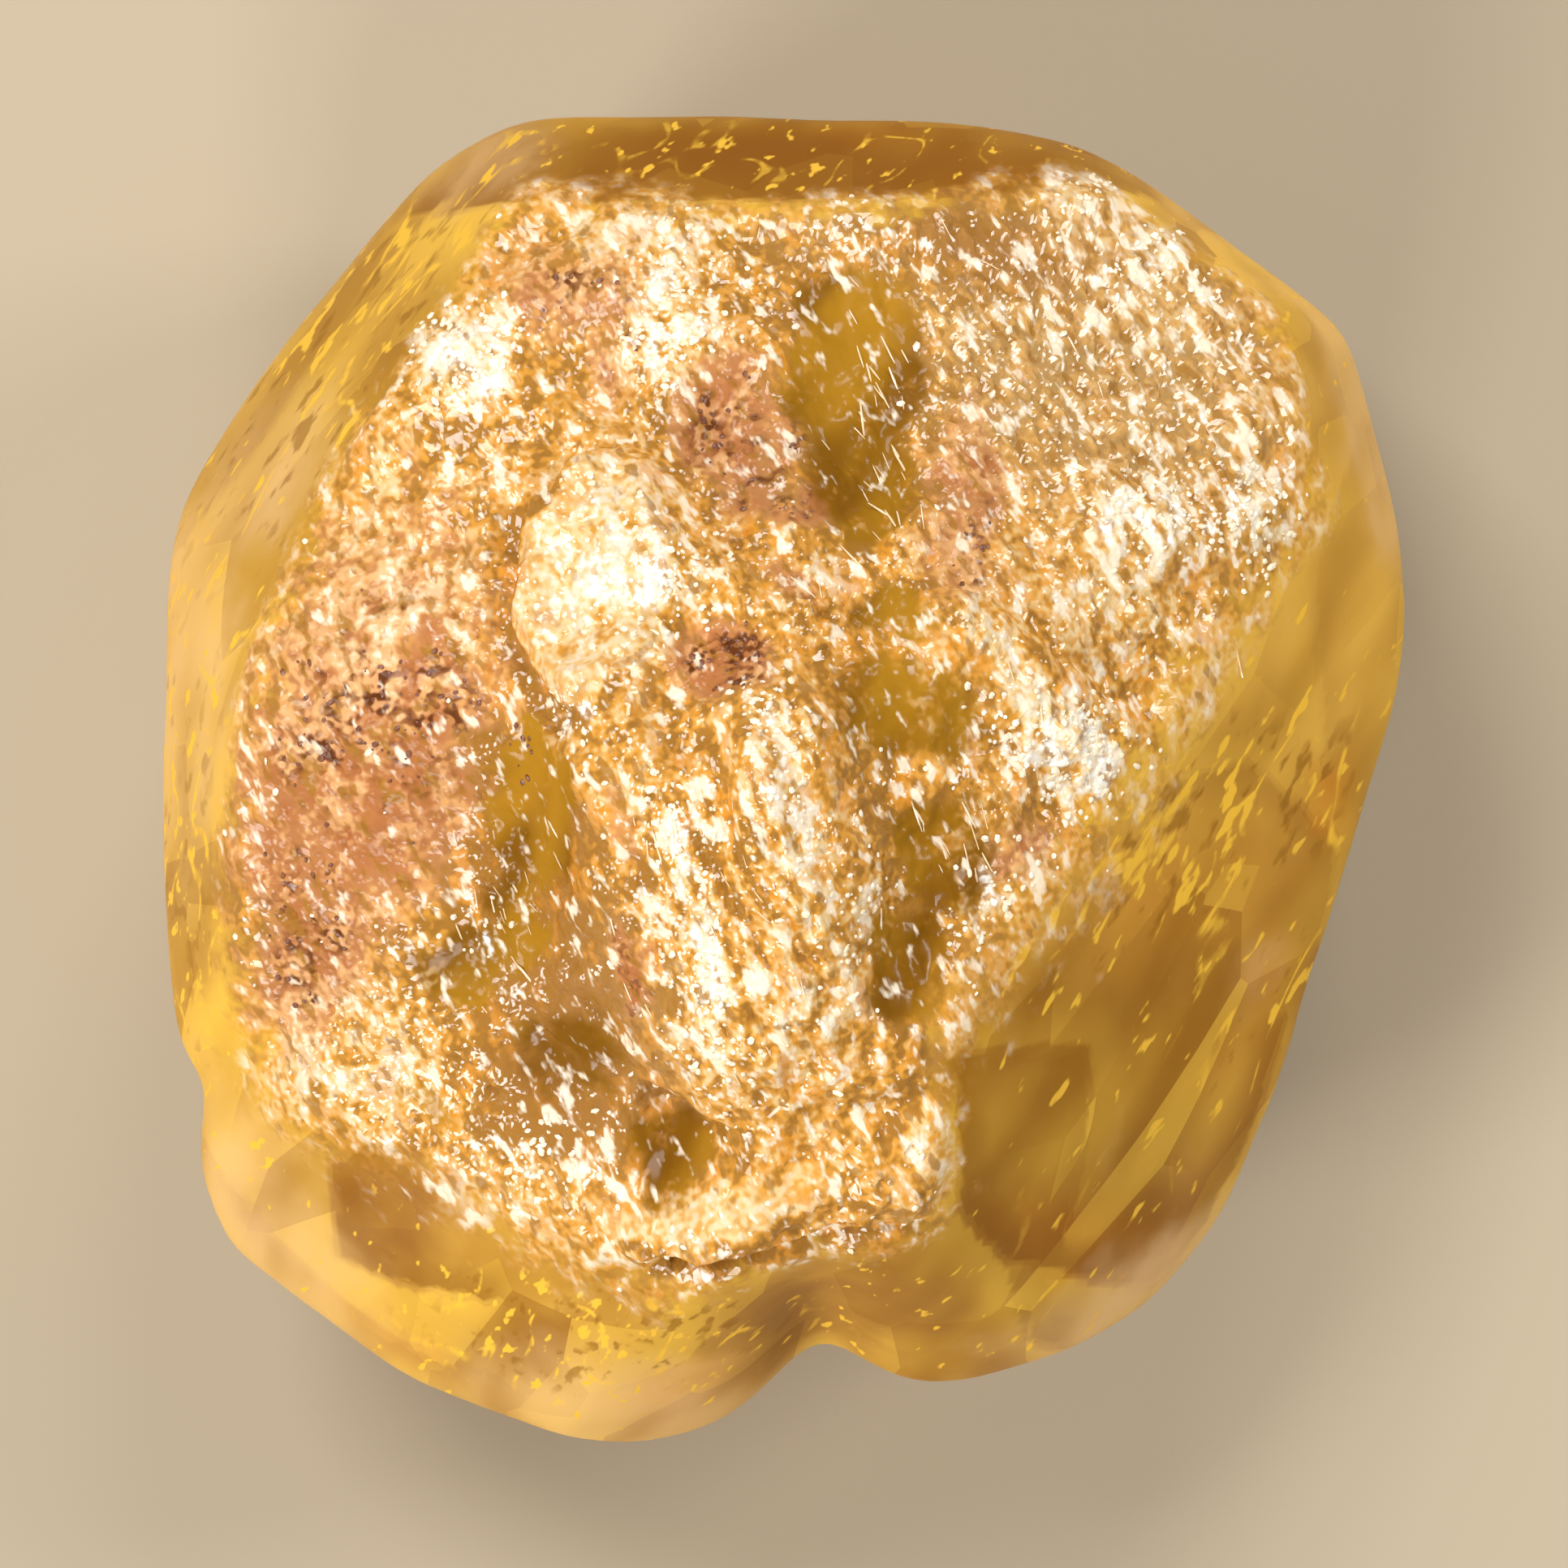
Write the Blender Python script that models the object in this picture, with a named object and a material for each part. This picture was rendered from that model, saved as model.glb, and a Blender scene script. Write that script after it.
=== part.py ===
"""Grossular garnet: one stubby, rounded crystal with its front weathered and stained.

The crystal lies on a flat face of its back with the weathered front up. +Y is its long way.
Lengths are millimetres and angles degrees unless a name says otherwise. Heights and planes are
measured from the middle of the belt, the widest section.
"""
from collections import namedtuple

import bmesh
import bpy
import numpy as np
from mathutils import Vector, noise

NAME = "garnet_crystal"
MM = 0.001

BELT_HEIGHT = 7.0  # from the resting face up to the belt
EDGE_ROUND = 0.13  # how softly neighbouring faces run into each other
BASE_SHAVE = 0.05  # taken off the back to leave a truly flat resting face
TRIANGLES = 9400
SPHERE_CUTS = 8  # detail of the ball that is pushed out to the faces
SEED = 41.0

# A side face leans toward the front by `tilt` and reaches `reach` out at `rise` above the belt.
# Below that line it leans in again, toward the back, by `tuck`.
Side = namedtuple("Side", "azimuth reach tilt tuck rise")
SIDES = {
    "right": Side(azimuth=358.7, reach=10.05, tilt=16.5, tuck=9, rise=0.8),
    "right bump": Side(azimuth=16.2, reach=10.86, tilt=20.2, tuck=14, rise=-0.2),
    "upper right": Side(azimuth=53.0, reach=11.43, tilt=11.7, tuck=6, rise=-0.9),
    "top right corner": Side(azimuth=76.7, reach=11.14, tilt=11.8, tuck=12, rise=0.2),
    "top": Side(azimuth=89.7, reach=10.72, tilt=29.0, tuck=10, rise=0.9),
    "top left corner": Side(azimuth=113.0, reach=11.54, tilt=20.4, tuck=7, rise=0.4),
    "upper left": Side(azimuth=139.9, reach=10.83, tilt=20.8, tuck=12, rise=-0.8),
    "left shoulder": Side(azimuth=152.5, reach=10.82, tilt=26.3, tuck=15, rise=0.0),
    "left": Side(azimuth=178.6, reach=10.03, tilt=19.2, tuck=6, rise=0.9),
    "left foot": Side(azimuth=189.8, reach=10.37, tilt=18.8, tuck=10, rise=0.1),
    "lobe cheek": Side(azimuth=206.0, reach=12.10, tilt=35.0, tuck=13, rise=-0.6),
    "lower left lobe": Side(azimuth=233.2, reach=11.51, tilt=34.1, tuck=14, rise=-0.8),
    "bottom lobe": Side(azimuth=254.0, reach=11.27, tilt=15.5, tuck=8, rise=0.6),
    "bottom": Side(azimuth=279.7, reach=10.28, tilt=24.6, tuck=12, rise=-0.4),
    "bottom corner": Side(azimuth=288.8, reach=10.31, tilt=22.9, tuck=16, rise=0.2),
    "lower right corner": Side(azimuth=320.7, reach=10.08, tilt=31.6, tuck=12, rise=-0.8),
    "lower right": Side(azimuth=341.9, reach=9.10, tilt=39.4, tuck=5, rise=0.3),
}

# The front and the back are closed by planes that cross the crystal's axis at `height`.
Cap = namedtuple("Cap", "azimuth tilt height")
FRONT = {
    "crest": Cap(azimuth=90, tilt=88.0, height=8.50),
    "top slope": Cap(azimuth=99, tilt=61.6, height=8.79),
    "rusty brow": Cap(azimuth=138, tilt=63.1, height=8.96),
    "rusty cheek": Cap(azimuth=189, tilt=66.0, height=9.10),
    "brown facet": Cap(azimuth=218, tilt=55.3, height=9.41),
    "foot slope": Cap(azimuth=285, tilt=63.4, height=9.25),
    "right slope": Cap(azimuth=358, tilt=57.1, height=8.65),
    "frosted slope": Cap(azimuth=57, tilt=59.9, height=8.86),
    "lower right slope": Cap(azimuth=330, tilt=70.0, height=8.80),
}
BACK = {
    "back right": Cap(azimuth=12, tilt=-47, height=-13.06),
    "back upper right": Cap(azimuth=62, tilt=-43, height=-14.85),
    "back top": Cap(azimuth=108, tilt=-51, height=-12.64),
    "back left": Cap(azimuth=160, tilt=-45, height=-13.90),
    "back lower left": Cap(azimuth=205, tilt=-49, height=-13.18),
    "back bottom": Cap(azimuth=250, tilt=-45, height=-14.50),
    "back lower right": Cap(azimuth=295, tilt=-51, height=-11.97),
    "back flank": Cap(azimuth=335, tilt=-42, height=-13.88),
    "resting face": Cap(azimuth=0, tilt=-90, height=-BELT_HEIGHT),
}

# Groove between the two bottom lobes and the step above the lower left lobe.
NOTCH = dict(azimuth=273.6, width=6.8, depth=1.10, reach_up=28.0)
STEP = dict(azimuth=208.0, width=3.4, depth=0.26, reach_up=30.0)

# Relief of the weathered front, laid out as seen from above. `edge` is the share of the size
# over which a mound falls off: small for a plate with a steep edge.
Mound = namedtuple("Mound", "at size turn height edge")
Ridge = namedtuple("Ridge", "points widths height edge")
RELIEF = {
    "cream plate": Mound(at=(-2.75, 3.10), size=(1.25, 2.00), turn=-8, height=0.34, edge=0.26),
    "plate shoulder": Mound(at=(-1.35, 4.05), size=(1.40, 1.15), turn=20, height=0.14, edge=0.6),
    "rusty hollow": Mound(at=(-0.65, 5.05), size=(0.95, 1.40), turn=15, height=-0.26, edge=0.7),
    "under the plate": Mound(at=(-1.15, 1.95), size=(0.80, 0.65), turn=0, height=-0.24, edge=0.7),
    "left hollow": Mound(at=(-4.55, -1.20), size=(1.20, 2.40), turn=12, height=-0.60, edge=0.7),
    "lower hollow": Mound(at=(-3.05, -4.75), size=(1.30, 1.00), turn=-25, height=-0.36, edge=0.7),
    "dark pit": Mound(at=(-1.62, -5.80), size=(0.70, 0.72), turn=0, height=-0.62, edge=0.5),
    "foot plate": Mound(at=(-1.30, -6.80), size=(1.00, 0.55), turn=8, height=0.20, edge=0.5),
    "cheek": Mound(at=(-6.60, 0.90), size=(1.70, 3.60), turn=-14, height=0.22, edge=0.8),
    "cheek foot": Mound(at=(-7.10, -4.40), size=(0.95, 0.70), turn=20, height=0.20, edge=0.6),
    "brow knob": Mound(at=(-1.70, 6.90), size=(0.80, 0.90), turn=0, height=0.24, edge=0.6),
    "corner crust": Mound(at=(4.65, 9.20), size=(0.62, 0.85), turn=-20, height=0.20, edge=0.5),
    "corner lump": Mound(at=(6.15, 8.10), size=(0.75, 0.75), turn=0, height=0.16, edge=0.7),
    "middle knob": Mound(at=(-0.05, 0.85), size=(0.65, 0.80), turn=10, height=0.22, edge=0.6),
    "wide window": Mound(at=(1.25, 6.00), size=(1.05, 1.60), turn=4, height=-0.34, edge=0.6),
    "green window": Mound(at=(1.95, -2.65), size=(0.62, 0.72), turn=0, height=-0.24, edge=0.7),
    "brow ridge": Ridge(
        points=((-5.40, 5.90), (-3.70, 7.60), (-1.70, 8.60)), widths=(0.80, 0.70), height=0.24, edge=0.7
    ),
    "window valley": Ridge(
        points=((1.20, 5.00), (1.15, 1.30), (2.00, -0.80), (1.90, -3.30)),
        widths=(0.62, 0.55), height=-0.26, edge=0.8,
    ),
    "fan ridge": Ridge(
        points=((-2.65, 1.10), (-2.10, -1.40), (-0.90, -3.60)), widths=(0.50, 1.30), height=0.34, edge=0.6
    ),
    "fan rib": Ridge(
        points=((-0.50, 0.20), (0.35, -2.40), (1.30, -4.30)), widths=(0.40, 0.62), height=0.24, edge=0.6
    ),
    "glint ridge": Ridge(
        points=((2.70, 2.60), (3.90, 1.30), (5.50, 0.10)), widths=(0.45, 0.62), height=0.26, edge=0.6
    ),
    "right crust": Ridge(
        points=((4.90, 4.20), (6.30, 3.55), (7.60, 4.05)), widths=(0.45, 0.42), height=0.20, edge=0.6
    ),
    "heel ridge": Ridge(
        points=((1.80, -6.00), (2.55, -5.60)), widths=(0.55, 0.62), height=0.22, edge=0.7
    ),
    "groove by the plate": Ridge(
        points=((-4.20, 4.20), (-4.35, 2.60), (-3.40, 1.00)), widths=(0.26, 0.28), height=-0.16, edge=0.7
    ),
}
# A ledge of crust runs across the foot of the front and breaks off along this line.
LEDGE = dict(
    points=((-3.90, -7.90), (-2.10, -7.45), (-0.50, -7.25), (1.60, -7.00), (2.90, -6.55)),
    height=0.28, slope=0.26, run_in=1.60,
)
LUMP_SIZES = ((2.60, 0.18), (1.20, 0.10), (0.62, 0.05))  # size, height
WANDER = 0.20  # how far the relief's outlines stray from their plain shapes
GLASSY_SWELL = (3.20, 0.05)  # size, height of the faint waviness on clean faces
BORDER_SINK = 0.10  # the weathered front lies this much below the clean faces


def direction(azimuth, climb):
    a, c = np.radians(azimuth), np.radians(climb)
    return np.array([np.cos(a) * np.cos(c), np.sin(a) * np.cos(c), np.sin(c)])


def smoothstep(low, high, value):
    t = np.clip((value - low) / (high - low), 0.0, 1.0)
    return t * t * (3.0 - 2.0 * t)


def ray_to_plane(rays, normal, distance):
    """Length along each ray to a plane; rays that run away from it get a long way to go."""
    facing = rays @ normal
    return np.where(facing > 0.08, distance / np.maximum(facing, 0.08), 99.0)


def soft_least(lengths):
    return -EDGE_ROUND * np.log(np.exp(-np.array(lengths) / EDGE_ROUND).sum(axis=0))


def faceted_radius(rays):
    """Distance from the middle to the faces, and how far each ray lies inside the weathered front."""
    clean = []
    for side in SIDES.values():
        for tilt in (side.tilt, -side.tuck):
            lean = np.radians(tilt)
            distance = side.reach * np.cos(lean) + side.rise * np.sin(lean)
            clean.append(ray_to_plane(rays, direction(side.azimuth, tilt), distance))
    for cap in BACK.values():
        distance = cap.height * np.sin(np.radians(cap.tilt))
        clean.append(ray_to_plane(rays, direction(cap.azimuth, cap.tilt), distance))
    front = []
    for cap in FRONT.values():
        distance = cap.height * np.sin(np.radians(cap.tilt))
        front.append(ray_to_plane(rays, direction(cap.azimuth, cap.tilt), distance))
    clean_radius = soft_least(clean)
    front_radius = soft_least(front)
    weathered = smoothstep(-0.10, 0.35, clean_radius - front_radius)
    return soft_least([clean_radius, front_radius]), weathered


def noise_at(points, size, seed, octaves=3):
    """Fractal noise, about -1 to 1, with lumps `size` across."""
    shift = Vector((seed, seed * 0.37, -seed * 0.61))
    return np.array(
        [noise.fractal(Vector(p) / size + shift, 0.9, 2.1, octaves) for p in points]
    )


def mound_height(x, y, mound):
    turn = np.radians(mound.turn)
    dx, dy = x - mound.at[0], y - mound.at[1]
    along = (dx * np.cos(turn) + dy * np.sin(turn)) / mound.size[0]
    across = (-dx * np.sin(turn) + dy * np.cos(turn)) / mound.size[1]
    out = np.hypot(along, across)
    return mound.height * (1.0 - smoothstep(1.0 - mound.edge, 1.0 + mound.edge, out))


def nearest_on_line(x, y, points):
    """Distance to a bent line, share of the way along it, and which side of it (+ is left)."""
    best = np.full(x.shape, 1e9)
    share = np.zeros(x.shape)
    side = np.zeros(x.shape)
    runs = len(points) - 1
    for i in range(runs):
        start, end = np.array(points[i]), np.array(points[i + 1])
        run = end - start
        t = np.clip(((x - start[0]) * run[0] + (y - start[1]) * run[1]) / (run @ run), 0.0, 1.0)
        dx, dy = x - start[0] - t * run[0], y - start[1] - t * run[1]
        away = np.hypot(dx, dy)
        nearer = away < best
        best = np.where(nearer, away, best)
        share = np.where(nearer, (i + t) / runs, share)
        side = np.where(nearer, np.sign(run[0] * dy - run[1] * dx), side)
    return best, share, side


def ridge_height(x, y, ridge):
    away, share, _ = nearest_on_line(x, y, ridge.points)
    width = ridge.widths[0] + (ridge.widths[1] - ridge.widths[0]) * share
    out = away / width
    return ridge.height * (1.0 - smoothstep(1.0 - ridge.edge, 1.0 + ridge.edge, out))


def front_relief(points):
    """Height of the weathered front's plates, ridges, hollows, ledge and lumps."""
    wander_x = noise_at(points, 1.3, SEED)
    wander_y = noise_at(points, 1.3, SEED + 7.0)
    x = points[:, 0] + WANDER * wander_x
    y = points[:, 1] + WANDER * wander_y
    height = np.zeros(len(points))
    for shape in RELIEF.values():
        measure = mound_height if isinstance(shape, Mound) else ridge_height
        height += measure(x, y, shape)
    away, _, side = nearest_on_line(x, y, LEDGE["points"])
    above = smoothstep(-LEDGE["slope"], LEDGE["slope"], side * away)
    height += LEDGE["height"] * above * (1.0 - smoothstep(0.3, LEDGE["run_in"], away))
    for number, (size, rise) in enumerate(LUMP_SIZES):
        height += rise * noise_at(points, size, SEED + 20.0 + number)
    return height - BORDER_SINK


def groove(rays, azimuth, width, depth, reach_up):
    bearing = np.degrees(np.arctan2(rays[:, 1], rays[:, 0])) % 360.0
    climb = np.degrees(np.arcsin(rays[:, 2]))
    return -depth * np.exp(-((bearing - azimuth) / width) ** 2 - (climb / reach_up) ** 2)


def crystal_points(rays):
    """Where each ray from the middle of the belt leaves the crystal."""
    radius, weathered = faceted_radius(rays)
    points = rays * radius[:, None]
    relief = np.zeros(len(rays))
    front = weathered > 0.0
    relief[front] = front_relief(points[front])
    swell = GLASSY_SWELL[1] * noise_at(points, GLASSY_SWELL[0], SEED + 40.0, octaves=2)
    radius = radius + weathered * relief + (1.0 - weathered) * swell
    radius += groove(rays, **NOTCH) + groove(rays, **STEP)
    return rays * radius[:, None]


def new_collection(name):
    collection = bpy.data.collections.new(name)
    bpy.context.scene.collection.children.link(collection)
    return collection


def garnet_material():
    material = bpy.data.materials.new("clear_grossular")
    material.use_nodes = True
    shader = material.node_tree.nodes["Principled BSDF"]
    shader.inputs["Base Color"].default_value = (0.72, 0.44, 0.09, 1.0)
    shader.inputs["Roughness"].default_value = 0.25
    shader.inputs["IOR"].default_value = 1.74
    shader.inputs["Transmission Weight"].default_value = 0.6
    return material


def thinned(mesh, triangles):
    """A copy of the mesh with about the given number of triangles."""
    carrier = bpy.data.objects.new("thinning", mesh)
    bpy.context.scene.collection.objects.link(carrier)
    decimate = carrier.modifiers.new("Fewer faces", "DECIMATE")
    decimate.decimate_type = "COLLAPSE"
    decimate.ratio = triangles / len(mesh.polygons)
    decimate.use_collapse_triangulate = True
    depsgraph = bpy.context.evaluated_depsgraph_get()
    thin = bpy.data.meshes.new_from_object(carrier.evaluated_get(depsgraph))
    bpy.data.objects.remove(carrier)
    return thin


def build_crystal(collection):
    bm = bmesh.new()
    bmesh.ops.create_icosphere(bm, subdivisions=SPHERE_CUTS, radius=1.0)
    rays = np.array([vertex.co.normalized() for vertex in bm.verts])
    for vertex, point in zip(bm.verts, crystal_points(rays)):
        vertex.co = Vector(point) * MM
    full = bpy.data.meshes.new(NAME + "_full")
    bm.to_mesh(full)
    bm.free()

    bm = bmesh.new()
    bm.from_mesh(thinned(full, TRIANGLES))
    bpy.data.meshes.remove(full)
    floor = (BASE_SHAVE - BELT_HEIGHT) * MM
    everything = bm.verts[:] + bm.edges[:] + bm.faces[:]
    cut = bmesh.ops.bisect_plane(
        bm, geom=everything, dist=1e-7, plane_co=(0, 0, floor), plane_no=(0, 0, -1), clear_outer=True
    )
    rim = [part for part in cut["geom_cut"] if isinstance(part, bmesh.types.BMEdge)]
    bmesh.ops.contextual_create(bm, geom=rim)
    bmesh.ops.triangulate(bm, faces=[face for face in bm.faces if len(face.verts) > 3])
    bmesh.ops.recalc_face_normals(bm, faces=bm.faces)

    low = Vector([min(vertex.co[i] for vertex in bm.verts) for i in range(3)])
    high = Vector([max(vertex.co[i] for vertex in bm.verts) for i in range(3)])
    to_origin = Vector((-(low.x + high.x) / 2, -(low.y + high.y) / 2, -low.z))
    bmesh.ops.translate(bm, verts=bm.verts, vec=to_origin)

    mesh = bpy.data.meshes.new(NAME)
    bm.to_mesh(mesh)
    bm.free()
    for face in mesh.polygons:
        face.use_smooth = True
    mesh.set_sharp_from_angle(angle=np.radians(32.0))
    mesh.materials.append(garnet_material())
    crystal = bpy.data.objects.new(NAME, mesh)
    collection.objects.link(crystal)
    return crystal


for leftover in list(bpy.data.objects):
    bpy.data.objects.remove(leftover)
crystal = build_crystal(new_collection("Garnet crystal"))
size = ", ".join(f"{side / MM:.2f}" for side in crystal.dimensions)
print(f"{NAME}: {len(crystal.data.polygons)} triangles, {size} mm")
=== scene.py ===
import math
import bmesh
import bpy
import numpy as np
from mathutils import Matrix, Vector, noise


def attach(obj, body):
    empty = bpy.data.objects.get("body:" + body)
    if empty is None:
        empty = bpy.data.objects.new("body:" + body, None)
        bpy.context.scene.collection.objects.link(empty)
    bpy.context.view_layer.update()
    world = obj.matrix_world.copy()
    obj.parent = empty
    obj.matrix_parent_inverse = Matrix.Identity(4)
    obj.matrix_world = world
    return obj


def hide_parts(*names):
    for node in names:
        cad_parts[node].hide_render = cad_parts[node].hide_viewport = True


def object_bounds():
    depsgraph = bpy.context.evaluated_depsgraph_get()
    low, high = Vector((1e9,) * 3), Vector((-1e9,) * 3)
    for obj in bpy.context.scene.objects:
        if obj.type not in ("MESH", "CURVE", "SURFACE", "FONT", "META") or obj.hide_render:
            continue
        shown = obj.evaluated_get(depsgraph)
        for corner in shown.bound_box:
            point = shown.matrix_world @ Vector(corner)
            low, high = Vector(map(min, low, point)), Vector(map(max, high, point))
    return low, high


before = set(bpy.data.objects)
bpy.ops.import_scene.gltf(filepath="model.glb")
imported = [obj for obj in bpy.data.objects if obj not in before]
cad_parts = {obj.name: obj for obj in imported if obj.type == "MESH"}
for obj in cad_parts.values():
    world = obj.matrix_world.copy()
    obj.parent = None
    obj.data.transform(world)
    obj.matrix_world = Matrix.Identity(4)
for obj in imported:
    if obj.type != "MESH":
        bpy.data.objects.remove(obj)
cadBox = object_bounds()

mm = 0.001
photoPixel = 0.0131 * mm  # one of the photograph's 1932 pixels across, at the crystal's belt


def say(stage):
    print("garnet crystal:", stage)


def hexColour(code, alpha=1.0):
    # sRGB hex to the linear colour that shaders and lights want
    parts = [int(code[i:i + 2], 16) / 255 for i in (1, 3, 5)]
    linear = [c / 12.92 if c <= 0.04045 else ((c + 0.055) / 1.055) ** 2.4 for c in parts]
    return (*linear, alpha)


def addNode(tree, kind, inputs=None, **settings):
    # a node with its settings; an input is a plain value or the socket that feeds it
    node = tree.nodes.new(kind)
    for name, value in settings.items():
        setattr(node, name, value)
    for name, value in (inputs or {}).items():
        socket = node.inputs[name]
        if isinstance(value, bpy.types.NodeSocket):
            tree.links.new(value, socket)
        else:
            socket.default_value = value
    return node


def smoothStep(low, high, value):
    t = np.clip((value - low) / (high - low), 0, 1)
    return t * t * (3 - 2 * t)


def noiseAt(points, size, seed, octaves=3):
    # fractal noise, about -1 to 1, with lumps `size` millimetres across
    shift = Vector((seed, seed * 0.37, -seed * 0.61))
    return np.array([noise.fractal(Vector(p) / size + shift, 0.9, 2.1, octaves) for p in points])


def cellsAt(points, size, seed):
    # how far each point is from its cell's middle and from the cell's wall, in cells
    shift = Vector((seed, -seed * 0.43, seed * 0.29))
    near = [noise.voronoi(Vector(p) / size + shift)[0] for p in points]
    near = np.array([(d[0], d[1]) for d in near])
    return near[:, 0], near[:, 1] - near[:, 0]


# the crystal's form, in millimetres from the middle of its belt
crystalForm = {
    "beltHeight": 6.95,
    "edgeRound": 0.13,
    # side faces: azimuth, reach, tilt to the front, tuck to the back, height of the widest line
    "sides": {
        "right": (358.7, 10.05, 16.5, 9, 0.8),
        "right bump": (16.2, 10.86, 20.2, 14, -0.2),
        "upper right": (53.0, 11.43, 11.7, 6, -0.9),
        "top right corner": (76.7, 11.14, 11.8, 12, 0.2),
        "top": (89.7, 10.72, 29.0, 10, 0.9),
        "top left corner": (113.0, 11.54, 20.4, 7, 0.4),
        "upper left": (139.9, 10.83, 20.8, 12, -0.8),
        "left shoulder": (152.5, 10.82, 26.3, 15, 0.0),
        "left": (178.6, 10.03, 19.2, 6, 0.9),
        "left foot": (189.8, 10.37, 18.8, 10, 0.1),
        "lobe cheek": (206.0, 12.1, 35.0, 13, -0.6),
        "lower left lobe": (233.2, 11.51, 34.1, 14, -0.8),
        "bottom lobe": (254.0, 11.27, 15.5, 8, 0.6),
        "bottom": (279.7, 10.28, 24.6, 12, -0.4),
        "bottom corner": (288.8, 10.31, 22.9, 16, 0.2),
        "lower right corner": (320.7, 10.08, 31.6, 12, -0.8),
        "lower right": (341.9, 9.1, 39.4, 5, 0.3),
    },
    # planes across the axis: azimuth, tilt, height
    "front": {
        "crest": (90, 88.0, 8.5),
        "top slope": (99, 61.6, 8.79),
        "rusty brow": (138, 63.1, 8.96),
        "rusty cheek": (189, 66.0, 9.1),
        "brown facet": (218, 55.3, 9.41),
        "foot slope": (285, 63.4, 9.25),
        "right slope": (358, 57.1, 8.65),
        "frosted slope": (57, 59.9, 8.86),
        "lower right slope": (330, 70.0, 8.8),
    },
    "back": {
        "back right": (12, -47, -13.06),
        "back upper right": (62, -43, -14.85),
        "back top": (108, -51, -12.64),
        "back left": (160, -45, -13.9),
        "back lower left": (205, -49, -13.18),
        "back bottom": (250, -45, -14.5),
        "back lower right": (295, -51, -11.97),
        "back flank": (335, -42, -13.88),
        "resting face": (0, -90, -7.0),
    },
    # grooves down the sides: azimuth, width, depth, reach up and down
    "grooves": {"notch": (273.6, 6.8, 1.1, 28), "step": (208.0, 3.4, 0.26, 30)},
    # relief of the weathered front: middle, half sizes, turn, height, softness of the edge
    "mounds": {
        "cream plate": (-2.75, 3.1, 1.25, 2.0, -8, 0.34, 0.26),
        "plate shoulder": (-1.35, 4.05, 1.4, 1.15, 20, 0.14, 0.6),
        "rusty hollow": (-0.65, 5.05, 0.95, 1.4, 15, -0.26, 0.7),
        "under the plate": (-1.15, 1.95, 0.8, 0.65, 0, -0.24, 0.7),
        "left hollow": (-4.55, -1.2, 1.2, 2.4, 12, -0.6, 0.7),
        "lower hollow": (-3.05, -4.75, 1.3, 1.0, -25, -0.36, 0.7),
        "dark pit": (-1.62, -5.8, 0.7, 0.72, 0, -0.62, 0.5),
        "foot plate": (-1.3, -6.8, 1.0, 0.55, 8, 0.2, 0.5),
        "cheek": (-6.6, 0.9, 1.7, 3.6, -14, 0.22, 0.8),
        "cheek foot": (-7.1, -4.4, 0.95, 0.7, 20, 0.2, 0.6),
        "brow knob": (-1.7, 6.9, 0.8, 0.9, 0, 0.24, 0.6),
        "corner crust": (4.65, 9.2, 0.62, 0.85, -20, 0.2, 0.5),
        "corner lump": (6.15, 8.1, 0.75, 0.75, 0, 0.16, 0.7),
        "middle knob": (-0.05, 0.85, 0.65, 0.8, 10, 0.22, 0.6),
        "wide window": (1.25, 6.0, 1.05, 1.6, 4, -0.34, 0.6),
        "green window": (1.95, -2.65, 0.62, 0.72, 0, -0.24, 0.7),
    },
    # points, half width at each end, height, softness
    "ridges": {
        "brow ridge": (((-5.4, 5.9), (-3.7, 7.6), (-1.7, 8.6)), 0.8, 0.7, 0.24, 0.7),
        "window valley": (((1.2, 5.0), (1.15, 1.3), (2.0, -0.8), (1.9, -3.3)), 0.62, 0.55, -0.26, 0.8),
        "fan ridge": (((-2.65, 1.1), (-2.1, -1.4), (-0.9, -3.6)), 0.5, 1.3, 0.34, 0.6),
        "fan rib": (((-0.5, 0.2), (0.35, -2.4), (1.3, -4.3)), 0.4, 0.62, 0.24, 0.6),
        "glint ridge": (((2.7, 2.6), (3.9, 1.3), (5.5, 0.1)), 0.45, 0.62, 0.26, 0.6),
        "right crust": (((4.9, 4.2), (6.3, 3.55), (7.6, 4.05)), 0.45, 0.42, 0.2, 0.6),
        "heel ridge": (((1.8, -6.0), (2.55, -5.6)), 0.55, 0.62, 0.22, 0.7),
        "groove by the plate": (((-4.2, 4.2), (-4.35, 2.6), (-3.4, 1.0)), 0.26, 0.28, -0.16, 0.7),
        # finer than the solid holds
        "crack under the foot plate": (
            ((-1.75, -7.62), (-0.95, -7.55), (-0.4, -7.4)), 0.1, 0.08, -0.3, 0.5),
        "crack by the heel": (((0.35, -7.25), (0.8, -7.05), (1.2, -6.95)), 0.1, 0.06, -0.24, 0.5),
        "crack at the right face": (((7.55, 3.1), (7.45, 2.1), (7.2, 1.2)), 0.09, 0.07, -0.16, 0.6),
    },
    # the ground is higher on the left of each line: points, rise, half width of the slope, how far it runs
    "steps": {
        "ledge": (
            ((-3.9, -7.9), (-2.1, -7.45), (-0.5, -7.25), (1.6, -7.0), (2.9, -6.55)), 0.28, 0.16, 1.6),
        # finer than the solid holds
        "edge of the plate": (((-3.4, 4.5), (-4.14, 3.5), (-4.22, 2.45), (-3.85, 1.7), (-3.03, 1.02),
                               (-2.45, 1.62)), 0.17, 0.06, 0.95),
        "edge of the foot plate": (
            ((-2.35, -7.1), (-1.6, -7.22), (-0.6, -7.02), (0.1, -6.72)), 0.12, 0.06, 0.6),
    },
    "lumps": ((2.6, 0.18), (1.2, 0.1), (0.62, 0.05)),
    "wander": 0.2,
    "swell": (3.2, 0.05),
    "growthSteps": (0.7, 0.022, 4),  # low terraces on the clean faces: width, rise, how many
    "borderSink": 0.1,
    "seed": 41.0,
    "mostTriangles": 196000,
}


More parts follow.
